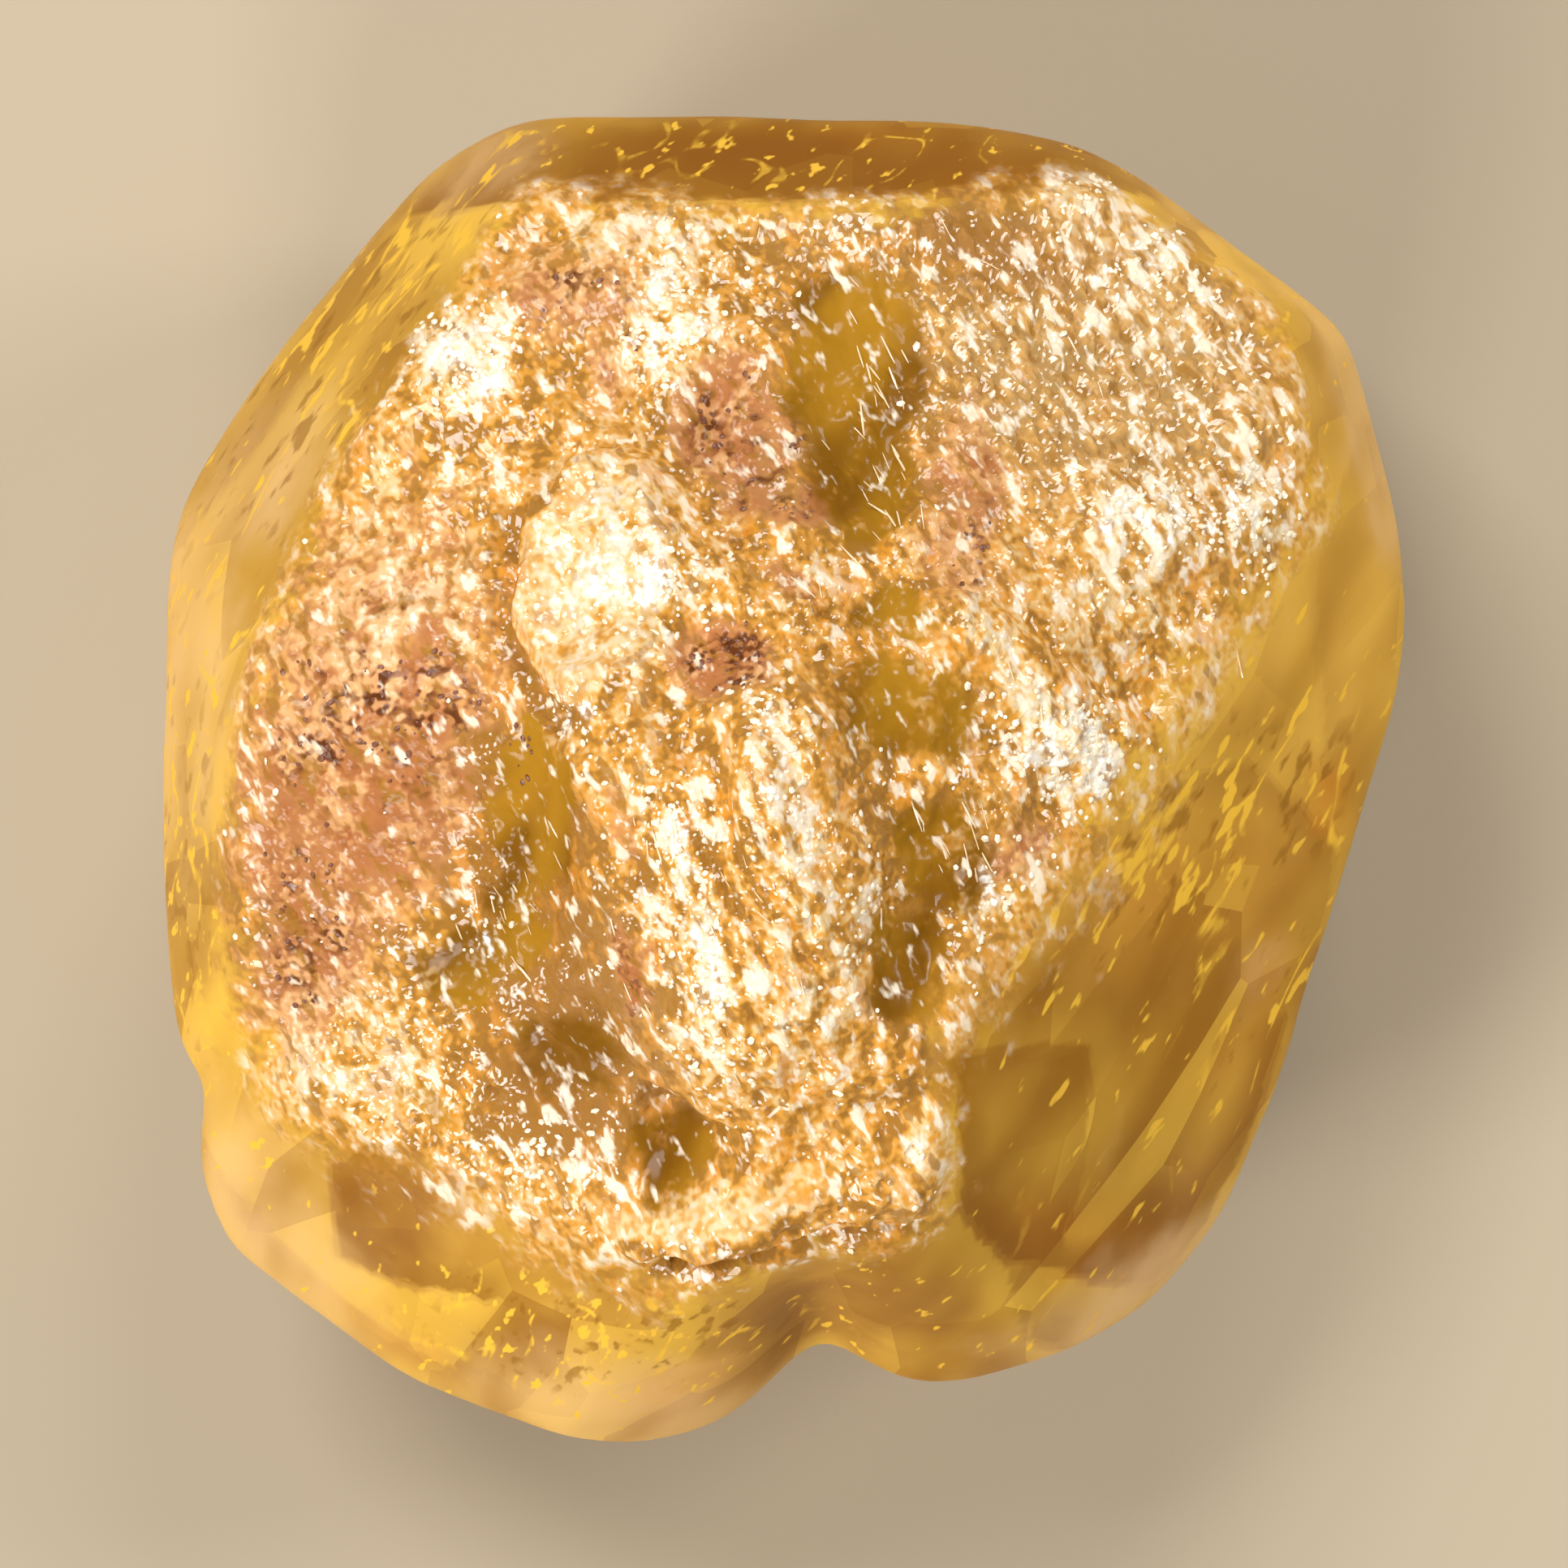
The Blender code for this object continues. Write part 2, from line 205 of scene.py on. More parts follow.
def facing(azimuth, climb):
    a, c = math.radians(azimuth), math.radians(climb)
    return np.array([math.cos(a) * math.cos(c), math.sin(a) * math.cos(c), math.sin(c)])


def rayToPlane(rays, normal, distance):
    slant = rays @ normal
    return np.where(slant > 0.08, distance / np.maximum(slant, 0.08), 99.0)


def softLeast(lengths):
    k = crystalForm["edgeRound"]
    return -k * np.log(np.exp(-np.array(lengths) / k).sum(axis=0))


def planesAlong(rays):
    # distance to every clean face and to every plane of the weathered front, along each ray
    clean, worn = [], []
    for azimuth, reach, tilt, tuck, rise in crystalForm["sides"].values():
        for lean in (tilt, -tuck):
            turn = math.radians(lean)
            distance = reach * math.cos(turn) + rise * math.sin(turn)
            clean.append(rayToPlane(rays, facing(azimuth, lean), distance))
    for group, caps in ((clean, crystalForm["back"]), (worn, crystalForm["front"])):
        for azimuth, tilt, height in caps.values():
            group.append(rayToPlane(rays, facing(azimuth, tilt), height * math.sin(math.radians(tilt))))
    return clean, worn


def faceDistance(rays):
    # distance to the crystal's faces, and how far the ray lies inside the weathered front
    clean, worn = planesAlong(rays)
    clean, worn = softLeast(clean), softLeast(worn)
    return softLeast([clean, worn]), smoothStep(-0.10, 0.35, clean - worn), clean - worn


def fromTheEdge(rays):
    # how far a ray leaves the clean face behind the nearest edge, in millimetres along the ray
    nearest = np.partition(np.array(planesAlong(rays)[0]), 1, axis=0)
    return nearest[1] - nearest[0]


def ovalOut(x, y, cx, cy, rx, ry, turn):
    t = math.radians(turn)
    dx, dy = x - cx, y - cy
    return np.hypot((dx * math.cos(t) + dy * math.sin(t)) / rx, (-dx * math.sin(t) + dy * math.cos(t)) / ry)


def nearLine(x, y, points):
    # distance to a bent line, share of the way along it, and its side (+ is left)
    best, share, side = np.full(x.shape, 1e9), np.zeros(x.shape), np.zeros(x.shape)
    runs = len(points) - 1
    for i in range(runs):
        start, run = np.array(points[i]), np.subtract(points[i + 1], points[i])
        t = np.clip(((x - start[0]) * run[0] + (y - start[1]) * run[1]) / (run @ run), 0, 1)
        dx, dy = x - start[0] - t * run[0], y - start[1] - t * run[1]
        away = np.hypot(dx, dy)
        nearer = away < best
        best = np.where(nearer, away, best)
        share = np.where(nearer, (i + t) / runs, share)
        side = np.where(nearer, np.sign(run[0] * dy - run[1] * dx), side)
    return best, share, side


# where the skin changes: middle, half sizes, turn, strength; laid out as seen from above
skinPatches = {
    "rust": (
        (-6.55, 0.6, 1.75, 3.6, -12, 1.0), (-7.3, -2.6, 1.1, 1.6, -10, 0.9),
        (-3.3, 7.55, 1.1, 0.8, -10, 0.75), (-2.6, 6.6, 0.4, 0.7, 0, 0.6), (-0.7, 5.2, 0.8, 1.3, 12, 1.0),
        (-1.0, 1.85, 0.85, 0.6, 0, 0.95), (2.8, 4.3, 0.65, 1.7, -8, 0.8), (-2.3, -3.0, 0.22, 0.8, 8, 0.8),
        (3.7, -1.1, 0.95, 0.35, 35, 0.7), (0.35, 4.1, 0.35, 0.3, -30, 0.9),
        (-2.4, -0.6, 0.25, 0.9, 0, 0.5), (7.45, 2.1, 0.16, 0.9, -5, 0.6), (-4.0, 0.2, 0.5, 1.4, 0, 0.5),
        (0.1, 3.0, 0.35, 0.3, 0, 0.6), (-0.4, 0.2, 0.3, 0.3, 0, 0.5),
    ),
    "darkSpots": (
        (-0.45, 4.95, 0.9, 1.2, 12, 1.0), (-0.9, 1.85, 0.8, 0.55, 0, 1.0), (-6.2, 1.2, 1.4, 1.3, 0, 0.8),
        (-3.1, 7.6, 0.7, 0.5, 0, 0.9), (2.9, 3.2, 0.35, 1.0, -10, 0.9), (0.35, 2.6, 0.5, 0.5, 0, 0.8),
        (-7.6, -2.4, 0.8, 1.2, -10, 0.8), (-4.1, 0.6, 0.5, 0.9, 0, 0.8), (7.45, 2.1, 0.12, 0.9, -5, 1.0),
        (-2.2, 6.9, 0.3, 0.5, 0, 0.8), (-2.3, -3.2, 0.2, 0.7, 8, 0.9), (-2.7, 3.0, 1.1, 1.6, 0, 0.35),
        (-0.1, 0.9, 0.5, 0.9, 10, 0.6), (-2.2, 3.4, 0.6, 0.5, 0, 0.6), (4.6, 0.4, 1.0, 0.6, -35, 0.6),
        (5.7, 4.0, 0.9, 0.5, 0, 0.5), (-1.7, 7.2, 0.6, 1.1, 0, 0.5), (0.9, -7.05, 0.5, 0.12, 12, 1.0),
        (-0.95, -7.55, 0.35, 0.08, 5, 1.0), (-4.9, 1.2, 0.5, 0.6, 0, 0.7),
    ),
    "cream": (
        (-5.8, 2.9, 1.3, 1.2, 0, 0.5), (-2.75, 3.1, 1.2, 1.8, -8, 0.75),
        (-2.35, 2.95, 0.85, 0.75, 0, 1.0), (-4.9, 6.7, 0.7, 0.7, 30, 1.0),
        (-1.65, 7.4, 0.55, 1.2, 0, 0.95), (-2.0, 8.6, 1.3, 0.45, 0, 0.6), (-6.2, 4.75, 0.3, 0.25, 0, 0.9),
        (4.6, 9.6, 0.55, 0.8, -20, 0.8), (5.9, 8.3, 0.65, 0.8, 0, 0.6), (5.65, 3.95, 0.8, 0.55, 20, 0.85),
        (7.5, 4.2, 0.35, 0.75, 10, 0.9), (4.6, 0.45, 1.05, 0.65, -35, 1.0),
        (-1.25, -2.45, 0.35, 1.9, 10, 0.75), (-0.1, 0.45, 0.6, 0.95, 15, 0.9),
        (0.4, -3.5, 0.9, 1.3, 15, 0.3), (3.2, -1.8, 0.75, 0.4, 40, 0.5),
        (-7.15, -4.55, 0.65, 0.5, 15, 0.8), (-2.1, 0.0, 0.35, 1.1, 5, 0.5),
        (-1.3, -6.85, 0.95, 0.45, 8, 1.0), (2.35, -5.6, 0.45, 0.6, 0, 0.7),
        (-4.6, -6.6, 1.3, 0.6, 10, 0.6), (-6.8, -4.2, 1.3, 0.9, 20, 0.6), (6.6, 1.6, 0.9, 1.2, 0, 0.35),
        (4.8, 8.6, 0.9, 0.9, 0, 0.6), (-2.7, -7.5, 1.1, 0.14, 17, 0.9), (3.15, 2.3, 0.75, 0.35, -45, 0.8),
        (-5.9, -4.5, 1.0, 0.6, 20, 0.5), (0.35, -1.0, 0.3, 0.9, 15, 0.7), (0.6, 3.3, 0.7, 0.22, -50, 0.6),
        (1.25, -2.2, 0.6, 0.9, 0, 0.6), (5.0, 2.6, 1.3, 0.8, -20, 0.45),
    ),
    "window": (
        (1.13, 6.4, 1.1, 1.6, 0, 1.0), (1.25, 4.3, 0.9, 0.95, 0, 0.75), (2.07, 1.1, 1.45, 0.75, -8, 0.85),
        (1.82, 2.53, 0.4, 0.4, 0, 0.9), (2.5, -1.1, 0.8, 1.0, 15, 0.85),
        (1.95, -2.95, 0.5, 0.85, 0, 0.95), (-3.8, -0.3, 0.65, 1.2, 5, 1.0),
        (-5.05, -3.0, 0.8, 0.6, 15, 0.95), (-1.75, -5.75, 0.55, 0.7, 0, 1.0),
        (-4.1, -2.1, 0.5, 0.8, 12, 0.7), (-3.3, -4.1, 0.9, 0.9, -25, 0.55),
        (-5.6, -5.0, 0.5, 0.4, 0, 0.6), (4.2, 2.2, 0.9, 0.5, -30, 0.3), (-5.0, 5.2, 0.9, 0.4, 20, 0.35),
        (0.0, -5.0, 1.0, 0.7, 0, 0.4),
    ),
    "frost": (
        (5.2, 6.6, 3.0, 2.4, -35, 1.0), (1.6, 8.4, 1.9, 0.6, -5, 0.4), (3.5, 6.6, 1.1, 2.2, 0, 0.9),
        (-2.9, -4.2, 1.2, 1.7, 10, 0.5), (3.0, -4.4, 0.5, 1.6, 0, 0.8),
    ),
    "shade": (
        (-6.0, -6.9, 1.4, 0.75, -25, 1.0), (-3.9, -3.2, 1.4, 2.4, 12, 0.5), (0.9, 6.2, 2.0, 2.6, 0, 0.3),
        (2.2, -2.8, 1.3, 2.6, 0, 0.15), (2.2, 8.3, 2.2, 0.8, 0, 1.0), (3.9, 6.9, 1.0, 1.4, 0, 0.5),
        (-4.2, 2.5, 0.28, 1.5, -6, 1.0), (-3.6, 1.3, 0.8, 0.22, -42, 0.9), (1.3, 6.1, 1.0, 1.7, 0, 0.6),
        (-3.7, -4.9, 1.3, 1.0, -10, 1.7), (-3.4, -2.6, 1.1, 2.8, 12, 1.5),
        (-7.6, -1.6, 1.3, 1.5, -10, 0.8), (2.0, -4.6, 0.5, 1.2, 0, 0.5), (3.6, 8.2, 1.4, 0.7, -10, 1.3),
        (-0.1, 0.7, 0.6, 0.8, 0, 1.1), (-1.6, -0.6, 0.8, 1.3, 10, 0.65), (-4.6, -6.5, 1.3, 0.6, 0, 0.5),
        (2.0, 1.1, 1.6, 1.0, 0, 0.1),
    ),
    "glitter": (
        (-4.9, 6.7, 0.8, 0.8, 0, 1.0), (-1.7, 7.3, 0.7, 1.3, 0, 1.0), (-2.3, 3.1, 1.2, 0.8, 0, 1.0),
        (-0.2, 0.5, 0.5, 0.9, 15, 0.9), (4.5, 0.4, 1.2, 0.8, -35, 1.0), (5.7, 4.0, 1.0, 0.7, 0, 1.0),
        (7.4, 4.2, 0.5, 0.9, 0, 1.0), (-1.3, -2.3, 0.5, 2.2, 8, 1.0), (3.2, -1.7, 0.9, 0.5, 40, 0.9),
        (-4.6, -2.6, 0.5, 0.5, 0, 0.8), (0.4, -7.55, 0.5, 0.2, 10, 1.0), (1.2, 8.6, 0.5, 0.3, 0, 0.6),
        (4.7, 9.5, 0.6, 0.7, 0, 0.8), (6.0, 8.2, 0.8, 0.8, 0, 0.7), (-3.2, 0.9, 0.3, 0.3, 0, 1.0),
        (0.35, -1.0, 0.3, 0.9, 15, 0.9), (-3.5, -5.8, 0.8, 0.5, 0, 0.7), (1.2, -2.2, 0.5, 0.9, 0, 0.6),
    ),
    "fibres": (
        (-1.0, -2.2, 1.5, 2.4, 12, 1.0), (1.6, 5.0, 0.9, 2.2, 5, 0.7), (4.6, 5.9, 2.6, 2.4, -35, 0.35),
        (2.6, 8.3, 2.0, 0.7, 0, 0.5), (4.5, 0.6, 1.5, 1.0, -35, 0.7), (2.2, -1.6, 1.4, 2.2, 0, 0.5),
        (-4.3, -2.2, 1.0, 2.4, 12, 0.6), (0.6, 3.0, 0.9, 0.7, -50, 0.9), (7.5, 2.2, 0.5, 1.6, 0, 0.6),
    ),
    # on the clean faces
    "olive": (
        (5.0, -6.0, 3.2, 3.6, -25, 1.0), (0.3, 10.4, 5.4, 1.5, 0, 1.0), (8.5, -1.5, 1.4, 2.0, -30, 0.6),
        (-6.5, 6.7, 1.8, 3.4, -40, 0.25),
    ),
    "veils": (
        (6.3, -0.85, 2.8, 1.2, 25, 1.4), (7.5, -3.6, 1.0, 2.0, -15, 0.6), (-6.6, 6.4, 2.3, 4.2, -40, 0.8),
        (-9.6, -1.0, 1.0, 5.0, 0, 0.6), (-2.8, -8.6, 2.9, 0.9, 0, 1.0), (4.6, -7.3, 2.4, 1.8, 0, 0.25),
        (0.0, 10.0, 5.0, 0.8, 0, 0.4),
    ),
    "brown": (
        (-6.15, -6.85, 1.1, 0.95, -20, 1.0), (0.9, -8.3, 2.6, 0.8, 0, 1.0),
        (3.2, -8.6, 1.5, 0.9, -20, 0.7), (-1.65, -5.6, 0.42, 0.45, 0, 1.0),
        (-3.7, -8.75, 1.7, 0.6, 18, 0.7), (-3.3, -4.2, 1.1, 1.6, 12, 0.8), (-3.9, -1.0, 0.8, 1.9, 8, 0.6),
        (3.4, 8.3, 1.6, 0.6, -10, 0.6), (5.9, -6.3, 0.9, 1.6, -20, 0.4), (-9.4, -1.5, 0.5, 1.6, 0, 1.0),
    ),
    "amber": (
        (8.8, -0.35, 0.45, 0.6, 0, 1.0), (4.9, -7.4, 1.3, 0.8, -30, 0.8), (6.3, -1.6, 1.6, 0.9, 25, 0.5),
        (-6.5, -8.8, 1.3, 0.6, -35, 0.5), (-1.5, -9.6, 1.2, 0.5, 10, 0.6),
        (7.6, -4.6, 0.8, 1.5, -20, 0.5), (-9.5, 2.5, 0.6, 1.4, 0, 0.4), (2.0, 10.3, 1.4, 0.5, 0, 0.4),
    ),
    "tan": (
        (7.4, -3.0, 0.35, 0.65, -15, 1.0), (5.27, -5.75, 0.14, 0.5, -15, 1.0),
        (6.9, -6.4, 0.8, 2.0, -25, 0.6), (5.2, -8.55, 1.05, 0.3, 31, 1.0), (-4.6, 9.6, 0.7, 1.0, 50, 0.8),
        (9.2, 4.6, 0.6, 2.2, 15, 0.5), (-9.6, -2.4, 0.45, 1.3, 0, 0.5), (-8.6, -6.5, 0.7, 1.6, 25, 0.4),
        (6.9, 9.2, 0.5, 1.8, 48, 0.5),
    ),
    # pale patches along the outline: a painted rim reflection
    "rim": (
        (-9.4, 1.8, 0.7, 2.8, 0, 0.8), (-2.2, -10.0, 2.8, 0.9, -5, 0.7), (5.6, -8.2, 2.2, 0.6, 28, 1.0),
        (-8.4, -7.2, 1.1, 2.6, 35, 0.8), (-8.4, 4.8, 0.8, 1.5, -35, 0.8), (9.4, 5.6, 0.5, 3.0, 20, 0.8),
        (7.0, 9.3, 0.6, 2.8, 48, 0.4), (-4.6, 9.8, 0.9, 0.5, 30, 0.6), (9.2, -4.0, 0.4, 3.0, -12, 0.4),
    ),
}

# thin boundaries seen inside the clear body, each painted as a step from light to shade: points, how much
# darker the left side is, how far it shows
bodyCreases = (
    (((2.68, -5.4), (2.7, -6.6), (3.46, -7.49), (4.57, -7.82), (5.69, -8.16), (6.24, -7.94), (6.8, -7.16),
      (7.24, -6.27), (7.69, -5.15), (7.91, -4.26)), 0.55, 1.3),
    (((4.6, -6.6), (4.85, -5.2), (4.8, -4.15), (2.6, -4.15)), 0.4, 1.0),
    (((-6.4, -5.6), (-7.11, -5.97), (-7.11, -7.6), (-6.1, -8.0), (-5.0, -8.15)), 0.6, 1.2),
    (((-9.6, -5.1), (-8.2, -7.2), (-6.3, -8.9), (-4.4, -9.6)), -0.35, 0.9),
    (((3.6, -8.0), (3.95, -8.9), (4.6, -9.2)), 0.45, 0.7),
    (((-9.4, 3.9), (-8.1, 5.6), (-6.6, 7.9), (-5.6, 9.0)), 0.35, 0.8),
    (((9.1, 5.6), (8.3, 3.4), (8.55, 0.6)), 0.25, 0.9),
    (((5.3, -0.2), (7.3, 0.3), (8.9, -0.9), (8.6, -2.6)), -0.3, 0.8),
    (((-4.2, 9.0), (0.5, 9.05), (4.2, 9.2)), 0.8, 2.8),
)


def patchField(x, y, name, soft=0.45):
    field = np.zeros(x.shape)
    for cx, cy, rx, ry, turn, strength in skinPatches[name]:
        out = ovalOut(x, y, cx, cy, rx, ry, turn)
        field = np.maximum(field, strength * (1 - smoothStep(1 - soft, 1 + soft, out)))
    return field


def frontRelief(points):
    # broad forms of the front, as the solid has them, and then the finer skin on top
    form = crystalForm
    seed = form["seed"]
    x = points[:, 0] + form["wander"] * noiseAt(points, 1.3, seed)
    y = points[:, 1] + form["wander"] * noiseAt(points, 1.3, seed + 7)
    height = np.zeros(len(points))
    for cx, cy, rx, ry, turn, rise, edge in form["mounds"].values():
        height += rise * (1 - smoothStep(1 - edge, 1 + edge, ovalOut(x, y, cx, cy, rx, ry, turn)))
    for line, firstWidth, lastWidth, rise, edge in form["ridges"].values():
        away, share, _ = nearLine(x, y, line)
        out = away / (firstWidth + (lastWidth - firstWidth) * share)
        height += rise * (1 - smoothStep(1 - edge, 1 + edge, out))
    for line, rise, slope, runIn in form["steps"].values():
        away, _, side = nearLine(x, y, line)
        height += rise * smoothStep(-slope, slope, side * away) * (1 - smoothStep(0.3, runIn, away))
    for number, (size, rise) in enumerate(form["lumps"]):
        height += rise * noiseAt(points, size, seed + 20 + number)
    height -= form["borderSink"]
    return height, fineSkin(points, x, y, seed)


fineRelief = {
    # etched beads of the frost
    "dropletSize": 0.25, "dropletHeight": 0.040, "dropletStretch": 2.4, "dropletLean": -58,
    "grainSize": 0.36, "grainHeight": 0.038,  # crystalline crumbs elsewhere
    "pitSize": 0.42, "pitDepth": 0.075,  # small corrosion pits, mostly in the rust
    "ribSpacing": 0.36, "ribHeight": 0.035,  # ribs of the fan, running down from the plate
    # silk between the ribs
    "strandSize": 0.15, "strandHeight": 0.050, "strandStretch": 4.5, "strandLean": 104,
    "fan": (-0.60, -2.40, 1.60, 2.60, 12), "plateTop": (-2.85, 3.00, 1.25, 1.75, -8),
}


def combed(points, lean, stretch):
    # the same points, drawn together along a direction, so that what is laid over them comes out long
    t = math.radians(lean)
    along = (points[:, 0] * math.cos(t) + points[:, 1] * math.sin(t)) / stretch
    across = -points[:, 0] * math.sin(t) + points[:, 1] * math.cos(t)
    return np.column_stack([along, across, points[:, 2] / math.sqrt(stretch)])


def strandsAt(points, seed):
    # long fine noise that follows the ribs, and how strongly it shows at each point
    fine = fineRelief
    wavy = points + 0.25 * noiseAt(points, 1.2, seed + 58)[:, None]
    laid = combed(wavy, fine["strandLean"], fine["strandStretch"])
    strands = noiseAt(laid, fine["strandSize"], seed + 57, 2)
    return strands * smoothStep(0.1, 0.9, patchField(points[:, 0], points[:, 1], "fibres", 0.6))


def fineSkin(points, x, y, seed):
    # relief below half a millimetre
    fine = fineRelief
    frost, rust, cream = (patchField(x, y, name) for name in ("frost", "rust", "cream"))
    window = patchField(x, y, "window")
    fan = 1 - smoothStep(0.6, 1.2, ovalOut(x, y, *fine["fan"]))
    plate = 1 - smoothStep(0.7, 1.1, ovalOut(x, y, *fine["plateTop"]))
    wavy = points + 0.12 * noiseAt(points, 0.7, seed + 59)[:, None]
    laid = combed(wavy, fine["dropletLean"], fine["dropletStretch"])
    _, wall = cellsAt(laid, fine["dropletSize"], seed + 60)
    beads = 2 * smoothStep(0.0, 0.5, wall) - 1 + 0.7 * noiseAt(points, 0.22, seed + 66, 3)
    height = frost * (1 - 0.95 * window) * fine["dropletHeight"] * beads
    _, wall = cellsAt(points, fine["grainSize"], seed + 61)
    rough = noiseAt(points, 0.30, seed + 62, 4)
    crumbs = 0.5 * (smoothStep(0.0, 0.5, wall) - 0.5) + 0.8 * rough
    calm = (1 - 0.93 * window) * (1 - 0.65 * plate)
    height += (1 - frost) * calm * fine["grainHeight"] * crumbs * (1 + 0.5 * cream)
    middle, _ = cellsAt(points, fine["pitSize"], seed + 63)
    pitted = smoothStep(0.1, 0.5, noiseAt(points, 1.1, seed + 64) + 0.6 * rust)
    pitted = pitted * (1 - window) * (1 - 0.6 * frost)
    height -= pitted * fine["pitDepth"] * (1 - smoothStep(0.12, 0.30, middle))
    across = (x + 2.7 + 0.42 * (y - 1.0)) / (1 + 0.16 * np.maximum(1.0 - y, 0))  # the ribs spread downwards
    ribs = np.sin(2 * math.pi * (across / fine["ribSpacing"] + 0.35 * noiseAt(points, 0.8, seed + 65)))
    height += fan * fine["ribHeight"] * ribs + fine["strandHeight"] * strandsAt(points, seed)
    return height


def skinAlong(rays):
    # the bare faces' distance, how weathered each ray is, and both reliefs there
    radius, worn, depth = faceDistance(rays)
    broad, fine = np.zeros(len(rays)), np.zeros(len(rays))
    front = worn > 0
    broad[front], fine[front] = frontRelief((rays * radius[:, None])[front])
    return radius, worn, depth, broad, fine


def crystalPoints(rays):
    form = crystalForm
    radius, worn, _, broad, fine = skinAlong(rays)
    size, rise = form["swell"]
    swell = rise * noiseAt(rays * radius[:, None], size, form["seed"] + 40, 2)
    spread, sink, count = form["growthSteps"]
    steps = fromTheEdge(rays) / spread + 0.8 * noiseAt(rays * radius[:, None], 2.4, form["seed"] + 41, 2)
    stairs = np.clip(np.floor(steps) + smoothStep(0.25, 0.75, steps % 1), 0, count)
    radius = radius + worn * (broad + fine) + (1 - worn) * (swell + sink * (stairs - count))
    bearing = np.degrees(np.arctan2(rays[:, 1], rays[:, 0])) % 360
    climb = np.degrees(np.arcsin(np.clip(rays[:, 2], -1, 1)))
    for azimuth, width, depth, reach in form["grooves"].values():
        radius -= depth * np.exp(-((bearing - azimuth) / width) ** 2 - (climb / reach) ** 2)
    return rays * radius[:, None]


def raysOf(bm):
    rays = np.array([v.co[:] for v in bm.verts])
    return rays / np.linalg.norm(rays, axis=1)[:, None]


def makeCrystal():
    bm = bmesh.new()
    bmesh.ops.create_icosphere(bm, subdivisions=7, radius=1)
    _, worn, _ = faceDistance(raysOf(bm))
    bm.verts.ensure_lookup_table()
    front = [e for e in bm.edges if worn[e.verts[0].index] + worn[e.verts[1].index] > 0.02]
    bmesh.ops.subdivide_edges(bm, edges=front, cuts=2, use_grid_fill=True)
    bmesh.ops.triangulate(bm, faces=[f for f in bm.faces if len(f.verts) > 3])
    rays = raysOf(bm)
    _, worn, _ = faceDistance(rays)
    for vertex, point in zip(bm.verts, crystalPoints(rays)):
        vertex.co = Vector(point) * mm
    mesh = bpy.data.meshes.new("grossularCrystal")
    bm.to_mesh(mesh)
    bm.free()
    say(f"pushed out, {len(mesh.polygons)} triangles")
    crystal = bpy.data.objects.new("grossularCrystal", mesh)
    bpy.context.scene.collection.objects.link(crystal)
    # the upper clean faces keep their triangles, for the tints that are stored on them
    loose = crystal.vertex_groups.new(name="may be thinned")
    loose.add([int(i) for i in np.flatnonzero((worn > 0) | (rays[:, 2] < 0.0))], 1.0, "REPLACE")
    thin = crystal.modifiers.new("fewer triangles", "DECIMATE")
    thin.vertex_group = loose.name
    thin.ratio = min(1.0, crystalForm["mostTriangles"] / len(mesh.polygons))
    depsgraph = bpy.context.evaluated_depsgraph_get()
    crystal.data = bpy.data.meshes.new_from_object(crystal.evaluated_get(depsgraph))
    crystal.modifiers.clear()
    crystal.vertex_groups.clear()
    bm = bmesh.new()
    bm.from_mesh(crystal.data)
    cut = bmesh.ops.bisect_plane(
        bm, geom=bm.verts[:] + bm.edges[:] + bm.faces[:], dist=1e-7,
        plane_co=(0, 0, -crystalForm["beltHeight"] * mm), plane_no=(0, 0, -1), clear_outer=True)
    bmesh.ops.contextual_create(bm, geom=[g for g in cut["geom_cut"] if isinstance(g, bmesh.types.BMEdge)])
    bmesh.ops.triangulate(bm, faces=[f for f in bm.faces if len(f.verts) > 3])
    bmesh.ops.recalc_face_normals(bm, faces=bm.faces)
    bm.to_mesh(crystal.data)
    bm.free()
    return crystal


